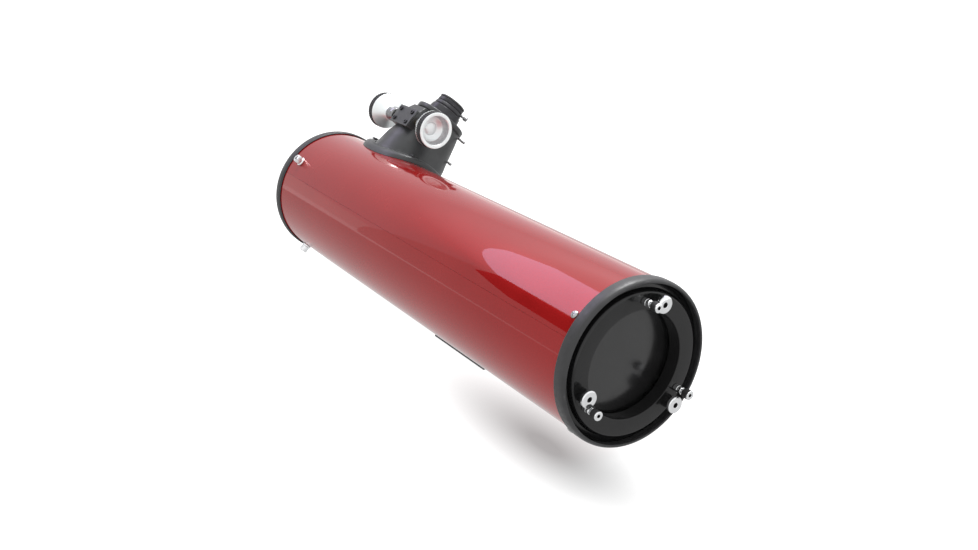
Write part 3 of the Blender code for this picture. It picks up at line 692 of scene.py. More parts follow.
def build_tube():
    low = (tube_low.y - REAR_PLANE) / MM
    high = (tube_high.y - REAR_PLANE) / MM
    inner = TUBE_RADIUS - TUBE_WALL
    seam = SEAM_ANGLE % TURN
    half = SEAM_WIDTH / 2 / TUBE_RADIUS
    turns = [TURN * i / 240 for i in range(240)]
    turns = [turn for turn in turns if abs(turn - seam) > 2 * half]
    turns = sorted(turns + [seam - half, seam - half / 2, seam + half / 2, seam + half])

    def folded_seam(radius, height, turn):
        """The lengthwise joint of the rolled sheet."""
        if abs(turn - seam) < 0.75 * half and radius > inner + 0.2:
            return radius - SEAM_DEPTH
        return radius

    stops = [high, high - 60, FOCUSER_PLACE + 32, FOCUSER_PLACE - 32, 320, 210, 30, low]
    ease = 0.25
    outside = [(TUBE_RADIUS - ease, high), (TUBE_RADIUS, high - ease)]
    outside += [(TUBE_RADIUS, stop) for stop in stops[1:-1]]
    outside += [(TUBE_RADIUS, low + ease), (TUBE_RADIUS - ease, low)]
    inside = [(inner, stop) for stop in reversed(stops)]
    tube = lathe("tube_shell", outside + inside, AXIAL, finish_of("tube"), shape=folded_seam, turns=turns)
    paint_faces(tube, TUBE_LINING, lambda point, normal: reach(point) < TUBE_RADIUS - TUBE_WALL / 2)
    hole(tube, 29.5, 50, 90, FOCUSER, 96)
    for number in range(1, 5):
        nut = on_joint(f"spider_nut_{number}_turn")
        hole(tube, 2.3, -4, 3, nut, 24)
        hole(tube, 2.3, -4, 3, cell_screw_seat(number), 24)
        hole(tube, 2.3, -4, 3, radial_seat(f"focuser_screw_{number}"), 24)
    for number in (1, 2):
        hole(tube, 3, -4, 0.25, bolt_seat(number), 24)
    stand_for(tube, "tube")


def radial_seat(node, radius=TUBE_RADIUS):
    """A frame on the tube's surface under a radial fastener, with Z pointing outward."""
    middle = centre_of(node)
    out = Vector((middle.x - AXIS_POINT.x, 0, middle.z - AXIS_POINT.z)).normalized()
    foot = Vector((AXIS_POINT.x, middle.y, AXIS_POINT.z)) + out * radius * MM
    return axes(foot, out, SKYWARD)


def cell_screw_seat(number):
    return radial_seat(f"cell_screw_{number}")


def bolt_seat(number):
    """A frame under the head of a bolt that holds the dovetail bar, with Z pointing up."""
    node = f"dovetail_bolt_{number}"
    middle = centre_of(node)
    _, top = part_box(node)
    return axes(Vector((middle.x, middle.y, top.z - BOLT_HEAD_HEIGHT * MM)), UPWARD, SIDEWAYS)


def tube_saddle(high, low, material):
    """The space the tube takes between two places along it, with a little room, to cut a seat for it."""
    radius = TUBE_RADIUS + SEAT_ROOM
    return lathe("saddle", [(0, high), (radius, high), (radius, low), (0, low)], AXIAL, material, 240)


def build_rings():
    rear = [
        (77.8, 12), (79.2, 12), (79.5, 11), (79.5, 4.2), (78.9, 0.8), (77.4, -1.2), (76.2, -1.5),
        (75.4, -0.9), (75.4, 2.7), (77.8, 2.7),
    ]
    ring = lathe("rear_end_ring", rounded(rear, 1.4, 5), AXIAL, finish_of("rear_ring"), 240)
    stand_for(ring, "rear_ring")
    front = [
        (77.8, 12), (78.8, 12), (78.9, 10.2), (79.5, 9.6), (79.5, 2.8), (78.8, -0.2), (77.6, -1.2),
        (76.2, -1.5), (75.4, -0.9), (75.4, 2.7), (77.8, 2.7),
    ]
    ring = lathe("front_end_ring", rounded(front, 0.7, 3), FROM_FRONT, finish_of("front_ring"), 240)
    stand_for(ring, "front_ring")


# ---- primary mirror cell ----

BOSS_HEIGHT = 8.3
FOCAL_LENGTH = 650


def build_back_plate():
    profile = [
        (76.2, 24), (76.2, 7.4), (69.7, 6.2), (68.5, 1.6), (67.2, 0), (51.7, 0), (51.3, 0.5),
        (51.3, 14.5), (53.5, 14.5), (53.5, 3.5), (66.6, 3.5), (68, 8.6), (73.7, 10), (73.7, 24),
    ]
    plate = lathe("cell_back_plate", rounded(profile, 0.8, 4), AXIAL, PLATE_PAINT, 240)
    boss = [(0, BOSS_HEIGHT), (5, BOSS_HEIGHT), (6, BOSS_HEIGHT - 1), (6.4, -1.5), (0, -1.5)]
    for number in range(1, 4):
        seat = on_joint(f"collimation_screw_{number}_turn")
        fuse(plate, lathe("boss", rounded(boss, 0.6), turned_by(seat, 2), PLATE_PAINT, 48))
        hole(plate, 2.9, -9, BOSS_HEIGHT + 1, seat)
        hole(plate, 2.3, -9, 2, on_joint(f"lock_screw_{number}_turn"))
    for number in range(1, 5):
        hole(plate, 2.3, -6, 0.5, cell_screw_seat(number), 24)
    stand_for(plate, "back_plate")


def build_mirror_cell():
    profile = [
        (0, 21.5), (66.2, 21.5), (66.2, 41), (69, 41), (69, 19), (67.6, 17), (0, 17),
    ]
    cell = lathe("mirror_cell_cup", rounded(profile, 0.5), AXIAL, CELL_PAINT, 192)
    for number in range(1, 4):
        hole(cell, 2.7, -30, -10, on_joint(f"collimation_screw_{number}_turn"))
    stand_for(cell, "mirror_cell")


def build_primary_mirror():
    low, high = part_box("primary_mirror")
    radius = (high.x - low.x) / 2 / MM
    back = (low.y - REAR_PLANE) / MM
    edge = (high.y - REAR_PLANE) / MM

    def surface(distance):
        return edge - (radius**2 - distance**2) / (4 * FOCAL_LENGTH)

    rim = radius - 0.8
    rings = 24
    profile = [(rim * i / rings, surface(rim * i / rings)) for i in range(rings + 1)]
    profile += [(radius, edge - 0.8), (radius, back + 0.8), (radius - 0.8, back), (0, back)]
    mirror = lathe("primary_mirror_disc", profile, AXIAL, finish_of("primary_mirror"), 160)
    paint_faces(mirror, GROUND_GLASS, lambda point, normal: normal.z < 0.7)
    stand_for(mirror, "primary_mirror")


def build_mirror_clips():
    for number in range(1, 4):
        node = f"mirror_clip_{number}"
        low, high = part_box(node)
        out = Vector((centre_of(node).x - AXIS_POINT.x, 0, centre_of(node).z - AXIS_POINT.z)).normalized()
        seat = axes(Vector((AXIS_POINT.x, low.y, AXIS_POINT.z)), SKYWARD, out)
        material = finish_of(node)
        arc = [(61.5, -4), (62.3, -5), (69, -5), (69, 5), (62.3, 5), (61.5, 4)]
        clip = prism(f"mirror_clip_plate_{number}", arc, 0, 1.0, seat, material, 0.2)
        head = [(0, 1.0), (0.8, 1.0), (1.0, 1.4), (2.2, 1.3), (2.4, 0.5), (0, 0.5)]
        fuse(clip, lathe("clip_screw", head, shifted(seat, 67), material, 24))
        stand_for(clip, node)


def build_collimation_screws():
    socket = hexagon(3.0, 9, 13)
    face = 12.5
    disc = BOSS_HEIGHT + 0.3
    ribs = knurl(44, 0.28, disc + 0.5, face - 0.5, 7.6)
    threads = thread(0.7, 0.35, -21, disc - 0.4, 1.9, 2.2)
    for number in range(1, 4):
        profile = [
            (0, face - 3.4),
            (2.5, face - 3.4),
            (2.5, face - 0.3),
            (2.8, face),
            (6.9, face),
            (7.5, face - 0.25),
            (8.1, face - 0.8),
            (8.1, disc + 0.7),
            (7.4, disc),
            (3.6, disc),
            (2.1, disc),
            *shank(2.1, disc - 0.3, -20.9, 0.7),
            (0, -20.9),
        ]
        node = f"collimation_screw_{number}"
        screw = lathe(
            f"collimation_thumbscrew_{number}",
            profile,
            on_joint(f"{node}_turn"),
            finish_of(node),
            176,
            combined(socket, ribs, threads),
        )
        # The inside of the hex socket is painted near-black as painted shade.
        paint_faces(screw, PAINTED_SHADE_BLACK, lambda point, normal: reach(point) < 2.55 and point.z > face - 3.6)
        stand_for(screw, node)


def build_lock_screws():
    ribs = knurl(30, 0.22, 12.8, 19.2, 4.2)
    threads = thread(0.7, 0.35, -15.6, -0.2, 1.8, 2.0)
    slot = hexagon(2.4, 17, 20)
    for number in range(1, 4):
        profile = [
            (0, 16.6),
            (1.7, 16.6),
            (1.7, 19.8),
            (2.0, 20),
            (3.7, 20),
            (4.2, 19.7),
            (4.5, 19.1),
            (4.5, 13),
            (4.1, 12.3),
            (2.4, 12),
            (2.4, 10.1),
            (3.2, 9.8),
            (3.5, 9.3),
            (3.5, 5.6),
            (3.3, 5.3),
            (3.5, 5.0),
            (3.5, 0.6),
            (3.2, 0.3),
            (1.95, 0.3),
            *shank(1.95, 0, -15.7, 0.7),
            (0, -15.7),
        ]
        node = f"lock_screw_{number}"
        screw = lathe(
            f"lock_thumbscrew_{number}",
            profile,
            on_joint(f"{node}_turn"),
            finish_of(node),
            120,
            combined(slot, ribs, threads),
        )
        # The knurled side of the chrome head is painted near-black as a painted dark reflection.
        paint_faces(screw, PAINTED_SHADE_BLACK, lambda point, normal: 12.2 < point.z < 17.6 and reach(point) > 2.2)
        # The hex hole in the head's end is painted near-black as painted shade.
        paint_faces(screw, PAINTED_SHADE_BLACK, lambda point, normal: reach(point) < 1.8 and point.z > 16)
        stand_for(screw, node)


def build_springs():
    turns, wire, radius, per_turn, around = 5.5, 0.6, 3.9, 24, 10
    for number in range(1, 4):
        node = f"collimation_spring_{number}"
        low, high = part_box(node)
        joint = f"collimation_screw_{number}_turn"
        bottom = (joint_point(joint).y - high.y) / MM + wire
        top = (joint_point(joint).y - low.y) / MM - wire
        build = bmesh.new()
        count = round(turns * per_turn)
        loops = []
        for i in range(count + 1):
            turn = TURN * i / per_turn
            height = bottom + (top - bottom) * i / count
            out = Vector((math.cos(turn), math.sin(turn), 0))
            loop = []
            for k in range(around):
                a = TURN * k / around
                point = out * (radius + wire * math.cos(a)) + Vector((0, 0, height + wire * math.sin(a)))
                loop.append(build.verts.new(point * MM))
            loops.append(loop)
        for first, second in zip(loops, loops[1:]):
            skin(build, first, second)
        build.faces.new(loops[0])
        build.faces.new(reversed(loops[-1]))
        bmesh.ops.recalc_face_normals(build, faces=build.faces[:])
        mesh = finished_mesh(build, node)
        spring = shade(new_piece(f"collimation_coil_{number}", mesh, on_joint(joint), finish_of(node)), 60)
        stand_for(spring, node)


def cross_recess(screw, matrix, width, length, depth, top):
    """Cuts a cross slot into a screw's head."""
    material = screw.data.materials[0]
    low, high = (-length, -width, top - depth), (length, width, top + 1)
    for turn in (0, 90):
        cut(screw, block("slot", low, high, turned_by(matrix, turn), material, 0))


def pan_head(node, name, matrix, length, shank_radius, head, height, socket=False):
    """A domed screw with a cross slot, or with a hexagon socket, standing on local height 0."""
    threads = thread(0.7, 0.3, -length, -0.2, shank_radius - 0.05, shank_radius + 0.05)
    apothem = head * 0.36
    recess = hexagon(apothem * 2, height * 0.3, height * 0.98)
    if socket:
        top = [(0, height * 0.4), (apothem, height * 0.4), (apothem, height * 0.9), (head * 0.5, height)]
        dome = [(head * 0.88, height), (head, height * 0.9), (head, height * 0.3)]
    else:
        top = [(0, height), (head * 0.25, height), (head * 0.55, height * 0.97)]
        dome = [(head * 0.8, height * 0.82), (head * 0.95, height * 0.55), (head, height * 0.3)]
    profile = top + dome + [(head, 0.35), (head * 0.95, 0.3), (shank_radius, 0.3)]
    profile += shank(shank_radius, 0, -length, 0.7) + [(0, -length)]
    screw = lathe(name, profile, matrix, finish_of(node), 48, combined(recess, threads))
    if not socket:
        cross_recess(screw, matrix, head * 0.1, head * 0.6, height * 0.5, height)
    return stand_for(screw, node)


def build_cell_screws():
    for number in range(1, 5):
        seat = cell_screw_seat(number)
        pan_head(f"cell_screw_{number}", f"cell_pan_screw_{number}", seat, 4.5, 1.9, 3.7, 2.3)


# ---- spider and secondary mirror ----


def build_spider():
    low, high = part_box("spider_hub")
    half = (high.y - low.y) / 2 / MM
    radius = (high.x - low.x) / 2 / MM
    seat = axes(Vector((AXIS_POINT.x, centre_of("spider_hub").y, AXIS_POINT.z)), SKYWARD, SIDEWAYS)
    profile = [
        (radius - 1.2, half), (radius, half - 1.2), (radius, half - 3.4),
        (radius - 0.7, half - 3.9), (radius - 0.7, -half + 3.9), (radius, -half + 3.4),
        (radius, -half + 0.6), (radius - 0.6, -half), (3.4, -half), (3.4, half),
    ]
    hub = lathe("spider_hub_body", rounded(profile, 0.3), seat, finish_of("spider_hub"), 128)
    for number in range(1, 4):
        hole(hub, 2, -2 * half - 1, 1, on_joint(f"secondary_adjuster_{number}_turn"), 24)
    stand_for(hub, "spider_hub")
    for number in range(1, 5):
        build_vane(number, radius)
        build_spider_nut(number)
    for number in range(1, 4):
        node = f"secondary_adjuster_{number}"
        low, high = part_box(node)
        foot = on_joint(f"{node}_turn")
        length = (joint_point(f"{node}_turn").y - low.y) / MM
        pan_head(node, f"secondary_socket_screw_{number}", foot, length, 1.6, 2.7, 2.4, socket=True)


def build_vane(number, hub_radius):
    """A thin strip with a clamp block and a threaded stud at its outer end."""
    nut = joint_point(f"spider_nut_{number}_turn")
    out = joint_axis(f"spider_nut_{number}_turn")
    seat = axes(Vector((AXIS_POINT.x, nut.y, AXIS_POINT.z)), out, SKYWARD)
    node = f"spider_vane_{number}"
    material = finish_of(node)
    inner = hub_radius + 0.3
    outer = TUBE_RADIUS - TUBE_WALL - 0.3
    low, high = (-11, -0.5, inner), (11, 0.5, outer - 1.5)
    vane = block(f"spider_vane_strip_{number}", low, high, seat, material, 0.15, 2)
    fuse(vane, block("clamp", (-5, -3, outer - 9), (5, 3, outer), seat, material, 0.6))
    threads = thread(0.7, 0.35, 71, 86, 1.8, 2.0)
    stud = [(0, 85.9), (1.5, 85.9), *shank(1.9, 85.5, outer - 5, 0.7), (0, outer - 5)]
    fuse(vane, lathe("stud", stud, turned_by(seat, 4), FINISHES["steel"], 24, threads))
    paint_faces(vane, FINISHES["steel"], lambda point, normal: point.z > outer + 0.1)
    stand_for(vane, node)


def build_spider_nut(number):
    node = f"spider_nut_{number}"
    profile = [
        (2.3, 9.7), (4.0, 9.7), (4.6, 9.4), (4.9, 8.8), (4.9, 3.2), (4.5, 2.7), (5.2, 2.4),
        (5.8, 1.9), (5.8, 0.6), (5.5, 0.3), (2.3, 0.3),
    ]
    ribs = knurl(34, 0.24, 3.3, 8.9, 4.8)
    place = on_joint(f"{node}_turn")
    nut = lathe(f"spider_thumb_nut_{number}", profile, place, finish_of(node), 136, ribs)
    stand_for(nut, node)


# The sky end of the wide part of the diagonal's holder, from the rear plane.
HOLDER_SHOULDER = 552


def build_secondary():
    seat = axes(FOCUS_POINT, SKYWARD, OUT)
    minor, thickness = 18.5, 7.0
    holder_radius = 17.5
    _, holder_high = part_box("secondary_holder")
    end = HOLDER_SHOULDER - FOCUSER_PLACE
    top = (holder_high.y - PINION.y) / MM
    count = 96

    def slanted(distance, offset):
        return [(x, y, x + offset) for x, y, _ in circle(distance, 0, count)]

    faces = [slanted(minor - 0.5, 0), slanted(minor, 0.5), slanted(minor, thickness)]
    mirror = loft("secondary_mirror_ellipse", faces, seat, finish_of("secondary_mirror"))
    slope = math.cos(math.radians(60))
    paint_faces(mirror, GROUND_GLASS, lambda point, normal: normal.z > -slope)
    stand_for(mirror, "secondary_mirror")
    rings = [
        slanted(holder_radius - 0.5, thickness + 0.3),
        slanted(holder_radius, thickness + 0.9),
        circle(holder_radius, end - 1.2, count),
        circle(holder_radius - 0.4, end - 0.4, count),
        circle(holder_radius - 1.2, end, count),
        circle(3.5, end, count),
        circle(3, end + 0.2, count),
        circle(3, top - 3.9, count),
        circle(4.4, top - 3.8, count),
        circle(4.6, top - 3.5, count),
        circle(4.6, top - 0.5, count),
        circle(4.2, top, count),
        circle(1.6, top, count),
        circle(1.6, top - 1.8, count),
    ]
    holder = loft("secondary_holder_body", rings, seat, finish_of("secondary_holder"))
    stand_for(holder, "secondary_holder")


# ---- focuser ----

FLANGE_LENGTH = 62
FLANGE_WIDTH = 50
FLANGE_HEIGHT = 7
COVER_BACK = 43
COVER_THICKNESS = 2.2
DRAWTUBE_SHOULDER = 149.3
DRAWTUBE_MOUTH = 159.3
EYEPIECE_TOP = 171


def superellipse(half_length, half_width, count, power=2.6):
    points = []
    for i in range(count):
        c, s = math.cos(TURN * i / count), math.sin(TURN * i / count)
        x = half_length * math.copysign(abs(c) ** (2 / power), c)
        y = half_width * math.copysign(abs(s) ** (2 / power), s)
        points.append((x, y))
    return points


def wrapped(outline, radius):
    """The outline laid on a cylinder about the tube's axis."""
    return [(x, y, math.sqrt(radius**2 - y**2)) for x, y in outline]


def between(first, second, amount):
    return [tuple(Vector(a).lerp(Vector(b), amount)) for a, b in zip(first, second)]


def housing_rings(count=120):
    surface = TUBE_RADIUS
    top = surface + FLANGE_HEIGHT
    eased = ((0, top - 3.6), (0.35, top - 2.2), (1.1, top - 1.0), (2.2, top - 0.3), (3.6, top))
    rings = [[(x, y, 45) for x, y in superellipse(FLANGE_LENGTH, FLANGE_WIDTH, count)]]
    for inset, height in eased:
        rings.append(wrapped(superellipse(FLANGE_LENGTH - inset, FLANGE_WIDTH - inset, count), height))

    def foot(radius, height):
        return wrapped([(x, y) for x, y, _ in circle(radius, 0, count)], height)

    rings.append(foot(47.2, top + 0.05))
    rings.append(foot(46.7, top - 0.7))
    rings.append(foot(46.1, top - 0.7))
    lower = foot(45.7, top + 0.2)
    upper = circle(42.8, 95.5, count)
    rings += [between(lower, upper, amount) for amount in (0, 0.15, 0.35, 0.6, 0.85)]
    body = (
        (42.8, 95.5), (41.2, 101), (39.9, 107), (38.6, 113), (37.3, 119), (36.0, 125), (34.6, 131),
        (33.3, 136), (32.1, 140.6), (31.5, 141.2), (31.5, 142.1), (32.6, 142.3), (33.2, 142.6),
        (33.5, 143.2), (33.5, 147.4), (33.2, 148.1), (32.5, 148.6),
    )
    rings += [circle(radius, height, count) for radius, height in body]
    return rings


def build_housing():
    material = finish_of("focuser_housing")
    housing = loft("focuser_casting", housing_rings(), FOCUSER, material)
    low, high = (-20.2, 5, PINION_HEIGHT - 12), (20.2, COVER_BACK - 0.3, PINION_HEIGHT + 12)
    fuse(housing, block("pinion_block", low, high, FOCUSER, material, 1.2), shoulder(material))
    cut(housing, tube_saddle(620, 400, material))
    hole(housing, 22.4, 40, 160, FOCUSER, 96)
    rack_slot = block("rack_slot", (-5.5, 0, 40), (5.5, 30.1, 160), FOCUSER, material, 0)
    low, high = (-6.2, 10, PINION_HEIGHT - 8.1), (6.2, 50, PINION_HEIGHT + 8.1)
    cut(housing, rack_slot, block("pocket", low, high, FOCUSER, material, 0))
    hole(housing, 3.3, -30, 30, on_joint("focus_knob_turn"), 32)
    for joint in ("drawtube_lock_turn", "drawtube_tension_turn"):
        hole(housing, 1.8, -40, 4, on_joint(joint), 24)
    for number in range(1, 5):
        hole(housing, 2.4, -12, 4, flange_screw_seat(number), 24)
        hole(housing, 1.5, -6, 1, cover_screw_seat(number), 24)
    stand_for(square_to_world(housing), "focuser_housing")


def square_to_world(piece):
    """The same piece with its own axes along the world's, so that its box is no larger than its shape."""
    place = piece.matrix_world
    piece.data.transform(place.to_3x3().to_4x4())
    piece.matrix_world = Matrix.Translation(place.translation)
    return piece


def shoulder(material):
    """The wedge that carries the pinion block up to the collar."""
    lower = [(-17, 8), (17, 8), (17, 41), (-17, 41)]
    upper = [(-14, 8), (14, 8), (14, 34.5), (-14, 34.5)]
    rings = [[(x, y, 127) for x, y in lower], [(x, y, 141) for x, y in upper]]
    piece = loft("shoulder", rings, FOCUSER, material)
    return eased(piece, 1.5, 3)


def cover_seat():
    """A frame on the cover's inner face: Z points away from the drawtube, X along the tube, Y inward."""
    return shifted(FOCUSER, 0, COVER_BACK, PINION_HEIGHT) @ Matrix.Rotation(-math.pi / 2, 4, "X")


def cover_screw_seat(number):
    """A frame on the cover's outer face under one of its screws."""
    seat = cover_seat()
    spot = seat.inverted() @ centre_of(f"cover_screw_{number}")
    return shifted(seat, spot.x / MM, spot.y / MM, COVER_THICKNESS)


def build_cover():
    material = finish_of("pinion_cover")
    low, high = (-20.5, -12.25, 0), (20.5, 12.25, COVER_THICKNESS)
    cover = block("pinion_cover_plate", low, high, cover_seat(), material, 0.5)
    for number in range(1, 5):
        foot = cover_screw_seat(number)
        hole(cover, 1.6, -4, 1, foot, 24)
        name = f"cover_socket_screw_{number}"
        pan_head(f"cover_screw_{number}", name, foot, 5.5, 1.2, 2.9, 1.7, socket=True)
    stand_for(cover, "pinion_cover")


def flange_screw_seat(number):
    return radial_seat(f"focuser_screw_{number}", TUBE_RADIUS + FLANGE_HEIGHT)


def build_flange_screws():
    for number in range(1, 5):
        seat = flange_screw_seat(number)
        pan_head(f"focuser_screw_{number}", f"flange_pan_screw_{number}", seat, 11, 1.9, 4.2, 2.4)


PITCH = math.pi
PINION_PITCH_RADIUS = 6.5
PINION_TEETH = 13


def build_drawtube():
    mouth = DRAWTUBE_MOUTH
    shoulder_height = DRAWTUBE_SHOULDER
    profile = [
        (19.4, mouth), (19.8, mouth - 0.15), (20.1, mouth - 0.5), (21.4, shoulder_height + 2.0),
        (21.4, shoulder_height + 1.6), (20.9, shoulder_height + 1.2),
        (20.9, shoulder_height + 0.5), (21.7, shoulder_height + 0.1), (22, shoulder_height - 0.3),
        (22, 69), (21.5, 68), (20, 68), (20, shoulder_height), (18, shoulder_height), (18, mouth),
    ]
    material = finish_of("drawtube")
    drawtube = lathe("drawtube_barrel", rounded(profile, 0.25, 2), FOCUSER, material, 160)
    paint_faces(drawtube, TUBE_LINING, lambda point, normal: reach(point) < 20.2 and point.z < 149)
    pitch_line = PINION_OFFSET - PINION_PITCH_RADIUS
    first, last = -11, 6
    flanks = ((0.95, -1.25), (0.62, -0.35), (0.3, 0.75), (-0.3, 0.75), (-0.62, -0.35), (-0.95, -1.25))
    outline = [(first * PITCH - PITCH / 2, 20.6), (last * PITCH + PITCH / 2, 20.6)]
    for tooth in range(last, first - 1, -1):
        middle = tooth * PITCH
        outline += [(middle + across, pitch_line + up) for across, up in flanks]
    local = axes(Vector((0, 0, PINION_HEIGHT * MM)), -SIDEWAYS, UPWARD)
    fuse(drawtube, prism("rack", outline, -5, 5, FOCUSER @ local, material))
    stand_for(drawtube, "drawtube")


def build_pinion():
    outline = []
    step = TURN / PINION_TEETH
    flanks = ((-0.92, -1.25), (-0.6, -0.35), (-0.28, 0.75), (0.28, 0.75), (0.6, -0.35), (0.92, -1.25))
    for tooth in range(PINION_TEETH):
        turn = -math.pi / 2 + (tooth + 0.5) * step
        for across, up in flanks:
            radius = PINION_PITCH_RADIUS + up
            x = radius * math.cos(turn) - across * math.sin(turn)
            y = radius * math.sin(turn) + across * math.cos(turn)
            outline.append((x, y))
    seat = axes(PINION, REARWARD, OUT)
    gear = prism("pinion_and_shaft", outline, -5.4, 5.4, seat, finish_of("pinion_shaft"))
    rod = [(0, 52), (2.7, 52), (3, 51.7), (3, -51.7), (2.7, -52), (0, -52)]
    fuse(gear, lathe("rod", rod, turned_by(seat, 5), finish_of("pinion_shaft"), 40))
    stand_for(gear, "pinion_shaft")


def build_knobs():
    knob = [
        (0, 55.0), (3, 54.95), (6.2, 54.6), (7.2, 54.1), (7.6, 53.4), (8.3, 53.1), (10, 53.5),
        (12.5, 54.7), (14.8, 56.4), (16.2, 58.2), (16.9, 60.2), (17.2, 62), (17.4, 66.1),
        (18.0, 66.9), (18.6, 67), (21.2, 67), (21.6, 66.7), (21.6, 66.2), (20.5, 66.1),
        (20.5, 56.9), (21.6, 56.8), (22, 56.5), (22, 56.1), (21.7, 55.7), (20.4, 54.9), (15, 51.4),
        (11.8, 48.4), (10.2, 46.4), (9.6, 44.6), (9.5, 43), (9.5, 34.5), (9.2, 32.2), (8.2, 30.3),
        (6.6, 29.5), (3.3, 29.5), (3.3, 52.4), (0, 52.4),
    ]
    grip = [(22.2, 65.9), (22.2, 57.1), (20.7, 57.1), (20.7, 65.9)]
    rib = 48

    def ribs(radius, height, turn):
        if radius < 21.5:
            return radius
        phase = (rib * turn / TURN) % 1
        return radius - (0.75 if 0.62 < phase < 0.98 else 0)

    for side, direction in (("near", REARWARD), ("far", SKYWARD)):
        seat = axes(PINION, direction, SIDEWAYS)
        node = f"focus_knob_{side}"
        cup = lathe(f"focus_knob_cup_{side}", knob, seat, KNOB_METAL, 160)
        # The neck gets the darker steel as a painted reflection of the dark body.
        paint_faces(cup, NECK_PAINTED_REFLECTION, lambda point, normal: point.z < 43.2)
        # The cup's inner wall gets the greyer steel as painted shade in the recess.
        paint_faces(cup, RECESS_PAINTED_SHADE, lambda point, normal: 15 < reach(point) < 17.6 and 57 < point.z < 66.2)
        stand_for(cup, node)
        node = f"knob_grip_{side}"
        band = lathe(f"knob_rubber_band_{side}", rounded(grip, 0.5, 3), seat, finish_of(node), rib * 6, ribs)
        stand_for(band, node)


def build_eyepiece_end():
    seat = DRAWTUBE_MOUTH
    top = EYEPIECE_TOP
    profile = [
        (16.7, top), (17.2, top - 0.2), (17.5, top - 0.7), (18.0, 166.3), (16.9, 166.1),
        (16.9, 165.1), (18.1, 164.9), (19, seat + 2.2), (18.9, seat + 1.6), (18.4, seat + 1.2),
        (18.4, seat + 0.3), (17.7, seat + 0.3), (17.7, seat - 7.9), (15.95, seat - 7.9),
        (15.95, top - 0.5), (16.3, top),
    ]
    material = finish_of("eyepiece_holder")
    holder = lathe("eyepiece_holder_barrel", rounded(profile, 0.2, 2), FOCUSER, material, 160)
    hole(holder, 1.8, -8, 4, on_joint("eyepiece_screw_turn"), 24)
    stand_for(holder, "eyepiece_holder")
    rim = top + 0.3
    cap = [
        (0, rim + 1.1), (6, rim + 1.1), (12.6, rim + 1.0), (13.4, rim + 1.4), (14.0, rim + 2.1),
        (14.6, rim + 2.2), (16.9, rim + 2.2), (17.5, rim + 1.9), (17.8, rim + 1.3),
        (17.8, rim + 0.2), (17.6, rim), (15.65, rim), (15.3, rim - 3.2), (14, rim - 3.2),
        (14, rim - 1), (0, rim - 1),
    ]
    ribs = knurl(60, 0.18, rim + 0.1, rim + 1.6, 17.4)
    piece = lathe("eyepiece_dust_cap", cap, FOCUSER, finish_of("dust_cap"), 240, ribs)
    stand_for(square_to_world(piece), "dust_cap")


SIDE_SHANK = 1.4


def thumbscrew(node, name, joint, length, head, neck, height, shank_radius=SIDE_SHANK):
    """A knurled screw that stands on its joint's point."""
    threads = thread(0.5, 0.2, -length, -0.1, shank_radius - 0.05, shank_radius + 0.05)
    ribs = knurl(20, 0.12, height * 0.5, height - 0.4, head * 0.97)
    profile = [
        (0, height), (head * 0.7, height), (head, height - 0.5), (head, height * 0.48),
        (neck, height * 0.4), (neck, 0.6), (neck * 0.9, 0.3), (shank_radius, 0.3),
        *shank(shank_radius, 0, -length, 0.5),
        (0, -length),
    ]
    screw = lathe(name, profile, on_joint(joint), PIN_METAL, 80, combined(ribs, threads))
    stand_for(screw, node)


def build_side_screws():
    thumbscrew("eyepiece_screw", "eyepiece_thumbscrew", "eyepiece_screw_turn", 2.4, 3.1, 1.7, 9.2)
    for use, length, height in (("lock", 10.3, 10.3), ("tension", 17.9, 5.7)):
        node, name, joint = f"drawtube_{use}_screw", f"drawtube_{use}_pin", f"drawtube_{use}_turn"
        thumbscrew(node, name, joint, length, 1.9, 1.5, height)


# ---- dovetail bar ----


def build_dovetail():
    low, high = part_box("dovetail_bar")
    half = (high.y - low.y) / 2 / MM
    face, waist = 21.5, 18.5
    right = [
        (10.8, 0), (11.4, 0.7), (13, 0.7), (13.6, 0), (face - 0.5, 0), (face, 0.5), (face, 1.6),
        (face - 0.3, 2.3), (waist, 11), (waist, 15),
    ]
    outline = [(-x, z) for x, z in reversed(right)] + right
    middle = Vector((centre_of("dovetail_bar").x, centre_of("dovetail_bar").y, low.z))
    seat = axes(middle, SKYWARD, SIDEWAYS)
    upright = [(x, -z) for x, z in reversed(outline)]
    material = finish_of("dovetail_bar")
    bar = prism("dovetail_bar_rail", upright, -half, half, seat, material)
    cut(bar, tube_saddle(360, 170, material))
    for number in (1, 2):
        foot = bolt_seat(number)
        hole(bar, 3, -9, 2, foot, 24)
        name = f"dovetail_bolt_head_{number}"
        pan_head(f"dovetail_bolt_{number}", name, foot, 8, 2.6, 5, BOLT_HEAD_HEIGHT, socket=True)
    stand_for(bar, "dovetail_bar")


# ---- floor, light and camera ----

# How strongly the floor glows in the middle of its painted shadow, and away from it.
FLOOR_GLOW_IN_PAINTED_SHADOW = 0.3
FLOOR_GLOW_FAR = 1.0
# The painted shadow is a dim oval beside the rear end, where the floor glows less: its middle, its squeeze
# and where its edge starts and ends.
PAINTED_SHADOW_MIDDLE = (-0.055, 0.055)
PAINTED_SHADOW_SQUEEZE = (3.0, 0.9, 0)
PAINTED_SHADOW_REACH = (0.02, 0.17)

CARD_DISTANCE = 2.0
CARD_SPACING = 0.01
# A card's light rises from its low strength to its high one between these heights above the tube's axis.
CARD_FADE = (1.15, 1.55)
# The floor as glossy surfaces see it: how far it is above the paper, its edges and its light.
FLOOR_CARD_LIFT = 0.001
FLOOR_CARD_EDGES = (-3, 3, -0.5, 1.9)
FLOOR_CARD_GLOW = (1, 1, 1, 0.74, 0.74)
